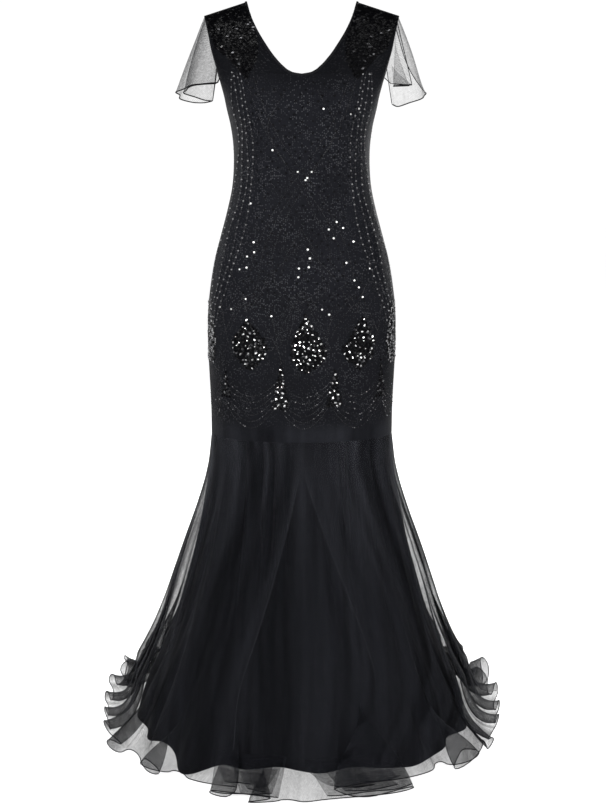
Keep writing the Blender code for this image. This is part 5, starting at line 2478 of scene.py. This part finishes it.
@dataclass
class Beading:
    """Layout of the sequins and beads, in X and height, the same on front and back."""

    form: BodyForm
    seed: int = 41
    strap_patch: Path = (
        (-0.175, 1.401), (-0.166, 1.372), (-0.154, 1.344), (-0.124, 1.318), (-0.099, 1.288),
        (-0.083, 1.316), (-0.079, 1.345), (-0.085, 1.375), (-0.094, 1.404), (-0.102, 1.424), (-0.140, 1.412),
    )
    # distance between the silver sequins of each kite, and of the spears
    kite_gaps: tuple[float, ...] = (0.0112, 0.0092, 0.0106)
    spear_gap: float = 0.0108
    kites: tuple[Path, ...] = (
        (
            (-0.100, 0.858), (-0.129, 0.812), (-0.122, 0.786), (-0.095, 0.759), (-0.068, 0.788),
            (-0.058, 0.807),
        ),
        ((0.006, 0.868), (-0.021, 0.804), (-0.018, 0.780), (0.008, 0.755), (0.040, 0.780), (0.046, 0.800)),
        ((0.112, 0.862), (0.072, 0.802), (0.080, 0.784), (0.105, 0.761), (0.132, 0.788), (0.136, 0.811)),
    )
    spears: tuple[Path, ...] = (
        ((-0.038, 0.774), (-0.046, 0.735), (-0.058, 0.692), (-0.022, 0.690), (-0.030, 0.735)),
        ((0.061, 0.776), (0.055, 0.735), (0.043, 0.694), (0.076, 0.696), (0.067, 0.735)),
        ((-0.141, 0.761), (-0.145, 0.735), (-0.150, 0.706), (-0.128, 0.707), (-0.136, 0.735)),
        ((0.146, 0.783), (0.143, 0.745), (0.136, 0.706), (0.154, 0.709), (0.151, 0.745)),
    )
    side_clusters: tuple[Path, ...] = (
        ((-0.1755, 0.884), (-0.170, 0.884), (-0.158, 0.812), (-0.163, 0.768), (-0.1765, 0.768)),
        ((0.1755, 0.884), (0.168, 0.884), (0.156, 0.812), (0.162, 0.768), (0.1765, 0.768)),
    )
    # height and how far from the centre the inmost side line lies
    side_line: Profile = Profile((
        (0.880, 0.1480), (0.948, 0.1260), (1.002, 0.1100), (1.074, 0.0930),
        (1.145, 0.0890), (1.198, 0.0900), (1.251, 0.1000), (1.300, 0.1120),
    ))
    side_line_count: int = 4
    side_line_ends: tuple[float, float] = (0.775, 1.300)
    # how far the outmost side line draws in up to the underarm, and how far out it may lie there
    armhole_inset: float = 0.010
    armhole_line: float = 0.1265
    # thin lines that cross the body, each with its mirror image
    body_lines: tuple[Path, ...] = (
        (
            (-0.098, 1.288), (-0.078, 1.226), (-0.044, 1.160), (0.0, 1.104), (0.040, 1.046),
            (0.070, 0.980), (0.082, 0.915), (0.104, 0.872),
        ),
        (
            (-0.086, 1.292), (-0.062, 1.226), (-0.030, 1.168), (0.0, 1.126), (0.046, 1.060),
            (0.082, 0.985), (0.096, 0.925),
        ),
        (
            (-0.028, 1.268), (-0.060, 1.204), (-0.034, 1.146), (0.0, 1.090), (0.028, 1.040),
            (0.052, 0.975), (0.046, 0.915), (0.010, 0.876),
        ),
        ((0.0, 1.020), (-0.030, 0.968), (-0.036, 0.918), (0.0, 0.888)),
        ((-0.006, 0.990), (-0.060, 0.930), (-0.094, 0.872)),
        ((-0.136, 0.950), (-0.112, 0.905), (-0.100, 0.868)),
        ((-0.150, 0.918), (-0.146, 0.868), (-0.138, 0.822), (-0.128, 0.790)),
        ((-0.056, 0.880), (-0.050, 0.840), (-0.040, 0.790)),
        ((-0.132, 0.836), (-0.104, 0.884), (-0.070, 0.852), (-0.046, 0.806), (-0.037, 0.778)),
        ((-0.142, 0.830), (-0.104, 0.898), (-0.060, 0.862), (-0.036, 0.812)),
        ((-0.030, 0.806), (0.002, 0.890), (0.032, 0.852), (0.054, 0.800)),
        ((-0.042, 0.800), (0.0, 0.905), (0.044, 0.850)),
    )
    # swags that hang between two high points: their X, height, and the low point between
    swags: tuple[tuple[float, float, float, float, float], ...] = (
        (-0.148, 0.705, -0.045, 0.699, 0.652),
        (-0.045, 0.699, 0.052, 0.699, 0.656),
        (0.052, 0.699, 0.150, 0.705, 0.652),
        (-0.172, 0.690, -0.148, 0.705, 0.660),
        (0.150, 0.705, 0.172, 0.690, 0.660),
    )
    # silver sequins that lie alone, in X and height, where the gown glints: their near-white, partly diffuse
    # finish is partly real silver and partly a painted glint
    silver_glint_places: Path = (
        (-0.144, 1.346), (0.039, 1.235), (0.102, 1.236), (0.087, 1.226), (-0.052, 1.163), (-0.007, 1.124),
        (0.018, 1.124), (0.010, 1.113), (0.007, 1.109), (-0.092, 1.066), (0.063, 1.033), (0.075, 1.022),
        (0.049, 1.020), (0.058, 1.004), (0.094, 0.997), (-0.087, 0.996), (-0.086, 0.978), (-0.099, 0.970),
        (-0.100, 0.950), (-0.113, 0.946), (0.011, 0.984), (0.015, 0.968), (0.013, 0.952), (-0.005, 0.950),
        (-0.006, 0.934), (0.081, 0.959), (0.124, 0.947), (0.096, 0.927), (0.104, 0.914), (0.111, 0.896),
        (-0.150, 0.875), (-0.129, 0.873), (-0.055, 0.863), (-0.102, 0.893), (0.037, 0.875), (0.050, 0.866),
    )
    swag_rows: int = 6
    swag_step: float = 0.0085
    # where single sequins lie, and where seed beads are strewn
    scatter_outline: Path = (
        (-0.100, 1.285), (0.100, 1.285), (0.090, 1.150), (0.082, 1.070), (0.092, 0.980),
        (0.118, 0.900), (0.100, 0.870), (-0.100, 0.870), (-0.118, 0.900), (-0.092, 0.980),
        (-0.082, 1.070), (-0.090, 1.150),
    )
    seed_outline: Path = (
        (-0.132, 1.200), (0.132, 1.200), (0.120, 1.120), (0.126, 1.080), (0.158, 0.960),
        (0.174, 0.860), (0.172, 0.700), (-0.172, 0.700), (-0.174, 0.860), (-0.158, 0.960),
        (-0.126, 1.080), (-0.120, 1.120),
    )
    # height, share of the seed beads that is kept there
    seed_share: Path = ((0.80, 0.50), (0.90, 0.62), (1.10, 0.45), (1.20, 0.30))

    @staticmethod
    def fill(outline: Path, across: float, up: float, jitter: float, random: Random) -> Array:
        """Places inside an outline, in staggered rows.

        Args:
            outline: The outline.
            across: Distance between places in a row.
            up: Distance between rows.
            jitter: Most that a place strays.
            random: The panel's seeded numbers.

        Returns:
            X and height of each place.
        """
        corners = np.array(outline)
        low, high = corners.min(0), corners.max(0)
        columns = np.arange(low[0], high[0] + across, across)
        rows = np.arange(low[1], high[1] + up, up)
        x, height = np.meshgrid(columns, rows)
        x = x + (np.arange(len(rows)) % 2)[:, None] * across / 2
        places = np.stack([x.ravel(), height.ravel()], 1)
        places = places + random.uniform(-jitter, jitter, places.shape)
        return places[inside(places, outline)]

    @staticmethod
    def mirrored(outline: Path) -> Path:
        """The same outline on the other half."""
        return tuple((-x, height) for x, height in outline)

    def side_lines(self) -> list[Array]:
        """Bead lines that run down beside the side seams."""
        foot, top = self.side_line_ends
        heights = np.linspace(foot, top, 30)
        inner = self.side_line.at(1, np.clip(heights, self.side_line.rows[0][0], top))
        inner = np.where(heights < 0.90, inner + (0.90 - heights) * 0.22, inner)
        outer = self.form.half_width(heights) * 0.975
        outer = outer - self.armhole_inset * smooth_step((heights - 1.02) / 0.20)
        outer = np.where(heights > 1.225, np.minimum(outer, self.armhole_line), outer)
        lines = []
        for order in range(self.side_line_count):
            share = order / (self.side_line_count - 1)
            wiggle = 0.0016 * np.sin(heights * 42 + order * 1.7)
            x = inner + (outer - inner) * share + wiggle
            for way in (-1, 1):
                lines.append(np.stack([way * x, heights], 1))
        return lines

    def swag_lines(self) -> list[Array]:
        """Parallel lines of each swag."""
        lines = []
        share = np.linspace(0, 1, 17)
        for x0, h0, x1, h1, low in self.swags:
            for row in range(self.swag_rows):
                drop = (min(h0, h1) - low) * (1 - 0.07 * row)
                height = h0 + (h1 - h0) * share - drop * np.sin(math.pi * share) + row * self.swag_step
                lines.append(np.stack([x0 + (x1 - x0) * share, height], 1))
        return lines

    def dress(self, panels: dict[Side, Piece], finishes: Wardrobe) -> dict[Side, list[Piece]]:
        """Lays all sequins and beads.

        Args:
            panels: The body's panels.
            finishes: The gown's finishes.

        Returns:
            The pieces on each panel.
        """
        made = {}
        for side, panel in panels.items():
            random = np.random.default_rng(self.seed + (side is Side.BACK))
            tray = Tray(Ground(panel, side), random)
            self.lay_patches(tray)
            self.lay_scatter(tray)
            self.lay_lines(tray)
            self.lay_field(tray)
            made[side] = tray.finish(side.value, finishes)
        return made

    def lay_patches(self, tray: Tray) -> None:
        """Lays the close patches: straps, kites, spears and side clusters.

        Args:
            tray: The panel's sequins and beads.
        """
        for outline in (self.strap_patch, self.mirrored(self.strap_patch)):
            places = self.fill(outline, 0.0046, 0.0027, 0.0006, tray.random)
            tray.mix(places, 0.95, (tray.jet, STRAP_JET), (tray.steel, STRAP_STEEL))
        for outline, gap in zip(self.kites, self.kite_gaps):
            places = self.fill(outline, 0.0052, 0.0042, 0.0013, tray.random)
            tray.mix(places, 0.86, (tray.jet, KITE_JET), (tray.steel, KITE_STEEL))
            places = self.fill(outline, gap * 1.06, gap, gap * 0.40, tray.random)
            tray.mix(places, 0.58, (tray.mirror, KITE_LARGE), (tray.mirror, KITE_SMALL))
        for order, outline in enumerate(self.spears):
            places = self.fill(outline, 0.0050, 0.0040, 0.0010, tray.random)
            tray.mix(places, 0.80, (tray.jet, SPEAR_JET), (tray.steel, SPEAR_STEEL))
            middle = order < 2
            gap = self.spear_gap * (1.0 if middle else 1.25)
            places = self.fill(outline, gap, gap, gap * 0.38, tray.random)
            tray.sew(tray.mirror if middle else tray.frost, SPEAR_BRIGHT, places)
        for outline in self.side_clusters:
            places = self.fill(outline, 0.0026, 0.0036, 0.0008, tray.random)
            tray.mix(places, 0.45, (tray.jet, CLUSTER_JET), (tray.frost, CLUSTER_GREY))

    def lay_scatter(self, tray: Tray) -> None:
        """Lays single sequins in loose staggered rows, and the few silver ones among them, whose near-white
        finish is partly a painted glint.

        Args:
            tray: The panel's sequins and beads.
        """
        places = self.fill(self.scatter_outline, 0.0195, 0.0108, 0.0034, tray.random)
        places = places[tray.random.random(len(places)) < 0.85]
        tray.sew(tray.matte, SINGLE_MATTE, places)
        # silver sequins where the gown glints, partly a painted glint
        tray.sew(tray.glint_silver, SILVER_GLINT, np.array(self.silver_glint_places))

    def lay_lines(self, tray: Tray) -> None:
        """Lays the bead lines: sides, body lines and swags.

        Args:
            tray: The panel's sequins and beads.
        """
        for line in self.side_lines():
            places = smooth_path(line, 0.0031)
            every = np.arange(len(places)) % 4 == int(tray.random.integers(4))
            tray.sew(tray.black, SIDE_BLACK, places[~every])
            tray.sew(tray.bright, SIDE_GREY, places[every])
        for path in self.body_lines:
            for line in (path, self.mirrored(path)):
                places = smooth_path(np.array(line), 0.0033)
                places = places + tray.random.normal(0, 0.0002, places.shape)
                tray.sew(tray.black, LINE_BLACK, places)
        for line in self.swag_lines():
            places = smooth_path(line, 0.0034)
            some = tray.random.random(len(places)) < 0.12
            tray.sew(tray.black, SWAG_BLACK, places[~some])
            tray.sew(tray.bright, SWAG_GREY, places[some])

    def lay_field(self, tray: Tray) -> None:
        """Strews seed beads between the lines, closer together over the hips.

        Args:
            tray: The panel's sequins and beads.
        """
        places = self.fill(self.seed_outline, 0.0075, 0.0065, 0.0030, tray.random)
        heights, shares = zip(*self.seed_share)
        keep = tray.random.random(len(places)) < np.interp(places[:, 1], heights, shares)
        tray.sew(tray.black, SEED_BLACK, places[keep])


# Studio


@dataclass
class Lamp:
    """One soft studio light."""

    name: str
    place: tuple[float, float, float]
    size: float
    power: float
    aim: tuple[float, float, float] = (0.0, 0.0, -0.7)

    def build(self) -> None:
        """Hangs the light, out of the camera's sight."""
        data = bpy.data.lights.new(self.name, "AREA")
        data.shape = "SQUARE"
        data.size = self.size
        data.energy = self.power
        lamp = bpy.data.objects.new(self.name, data)
        lamp.location = self.place
        lamp.rotation_mode = "QUATERNION"
        lamp.rotation_quaternion = (Vector(self.aim) - Vector(self.place)).to_track_quat("-Z", "Y")
        lamp.visible_camera = False
        bpy.context.scene.collection.objects.link(lamp)


@dataclass
class Studio:
    """Camera at the photograph's angle, pale floor and soft light."""

    camera_place: tuple[float, float, float] = (0.0024, -3.0, 1.2 - REST)
    pitch: float = 9.82
    lens: float = 70.84
    floor_size: float = 24.0
    # how bright the floor and the backdrop are, to the camera and to the gown
    floor_glow: float = 0.80
    floor_fill: float = 0.08
    world_glow: float = 1.02
    world_fill: float = 0.22
    lamps: tuple[Lamp, ...] = (
        Lamp("key_front_left", (-1.6, -2.9, 0.15), 1.3, 78.0),
        Lamp("fill_front_right", (2.3, -2.2, 0.0), 1.5, 42.0),
        Lamp("sparkle_front", (0.4, -3.3, 0.55), 0.36, 12.0, (0.0, 0.0, -0.5)),
        Lamp("back_right", (1.8, 2.8, 0.2), 1.3, 70.0),
        Lamp("back_left", (-2.3, 2.2, 0.0), 1.4, 40.0),
        Lamp("sparkle_back", (-0.4, 3.4, 0.55), 0.36, 12.0, (0.0, 0.0, -0.5)),
    )

    def build(self) -> None:
        """Sets up camera, floor, world and lights."""
        self.build_camera()
        self.build_floor()
        self.build_world()
        for lamp in self.lamps:
            lamp.build()
        view = bpy.context.scene.view_settings
        view.view_transform = "Standard"
        view.look = "None"

    def build_camera(self) -> None:
        """Stands the camera at the photograph's distance, height and pitch."""
        data = bpy.data.cameras.new("camera")
        data.lens = self.lens
        data.sensor_width = 36.0
        data.clip_end = 60.0
        camera = bpy.data.objects.new("camera", data)
        camera.location = self.camera_place
        camera.rotation_euler = (math.radians(90 - self.pitch), 0.0, 0.0)
        bpy.context.scene.collection.objects.link(camera)
        bpy.context.scene.camera = camera

    def build_floor(self) -> None:
        """Lays the plain pale floor."""
        half = self.floor_size / 2
        mesh = bpy.data.meshes.new("floor")
        corners = [(-half, -half, -REST), (half, -half, -REST), (half, half, -REST), (-half, half, -REST)]
        mesh.from_pydata(corners, [], [(0, 1, 2, 3)])
        material = bpy.data.materials.new("pale_floor")
        material.use_nodes = True
        shader = material.node_tree.nodes["Principled BSDF"]
        shader.inputs["Base Color"].default_value = (0.95, 0.95, 0.95, 1.0)
        shader.inputs["Roughness"].default_value = 0.9
        shader.inputs["Specular IOR Level"].default_value = 0.1
        shader.inputs["Emission Color"].default_value = (1.0, 1.0, 1.0, 1.0)
        wiring = Wiring(material.node_tree)
        seen = wiring.add("ShaderNodeLightPath").outputs["Is Camera Ray"]
        glow = wiring.math("MULTIPLY_ADD", seen, self.floor_glow - self.floor_fill, self.floor_fill)
        wiring.put(glow, shader.inputs["Emission Strength"])
        mesh.materials.append(material)
        floor = bpy.data.objects.new("floor", mesh)
        bpy.context.scene.collection.objects.link(floor)

    def build_world(self) -> None:
        """Sets a white backdrop that gives an even, weaker fill light."""
        world = bpy.data.worlds.new("white_studio")
        world.use_nodes = True
        wiring = Wiring(world.node_tree)
        background = world.node_tree.nodes["Background"]
        background.inputs["Color"].default_value = (1.0, 1.0, 1.0, 1.0)
        seen = wiring.add("ShaderNodeLightPath").outputs["Is Camera Ray"]
        level = wiring.math("MULTIPLY_ADD", seen, self.world_glow - self.world_fill, self.world_fill)
        wiring.put(level, background.inputs["Strength"])
        bpy.context.scene.world = world


def main() -> None:
    """Builds the gown piece by piece, then the studio round it."""
    logging.basicConfig(level=logging.INFO, format="%(name)s %(message)s", stream=sys.stdout)
    finishes = Wardrobe()
    body = Body()
    panels = body.build(finishes)
    body.bind(finishes)
    trims = Beading(body.form).dress(panels, finishes)
    for hand in Hand:
        Sleeve(hand, body.form).build(finishes)
    Overskirt().build(finishes)
    Lining().build(finishes)
    Studio().build()


if __name__ == "__main__":
    main()
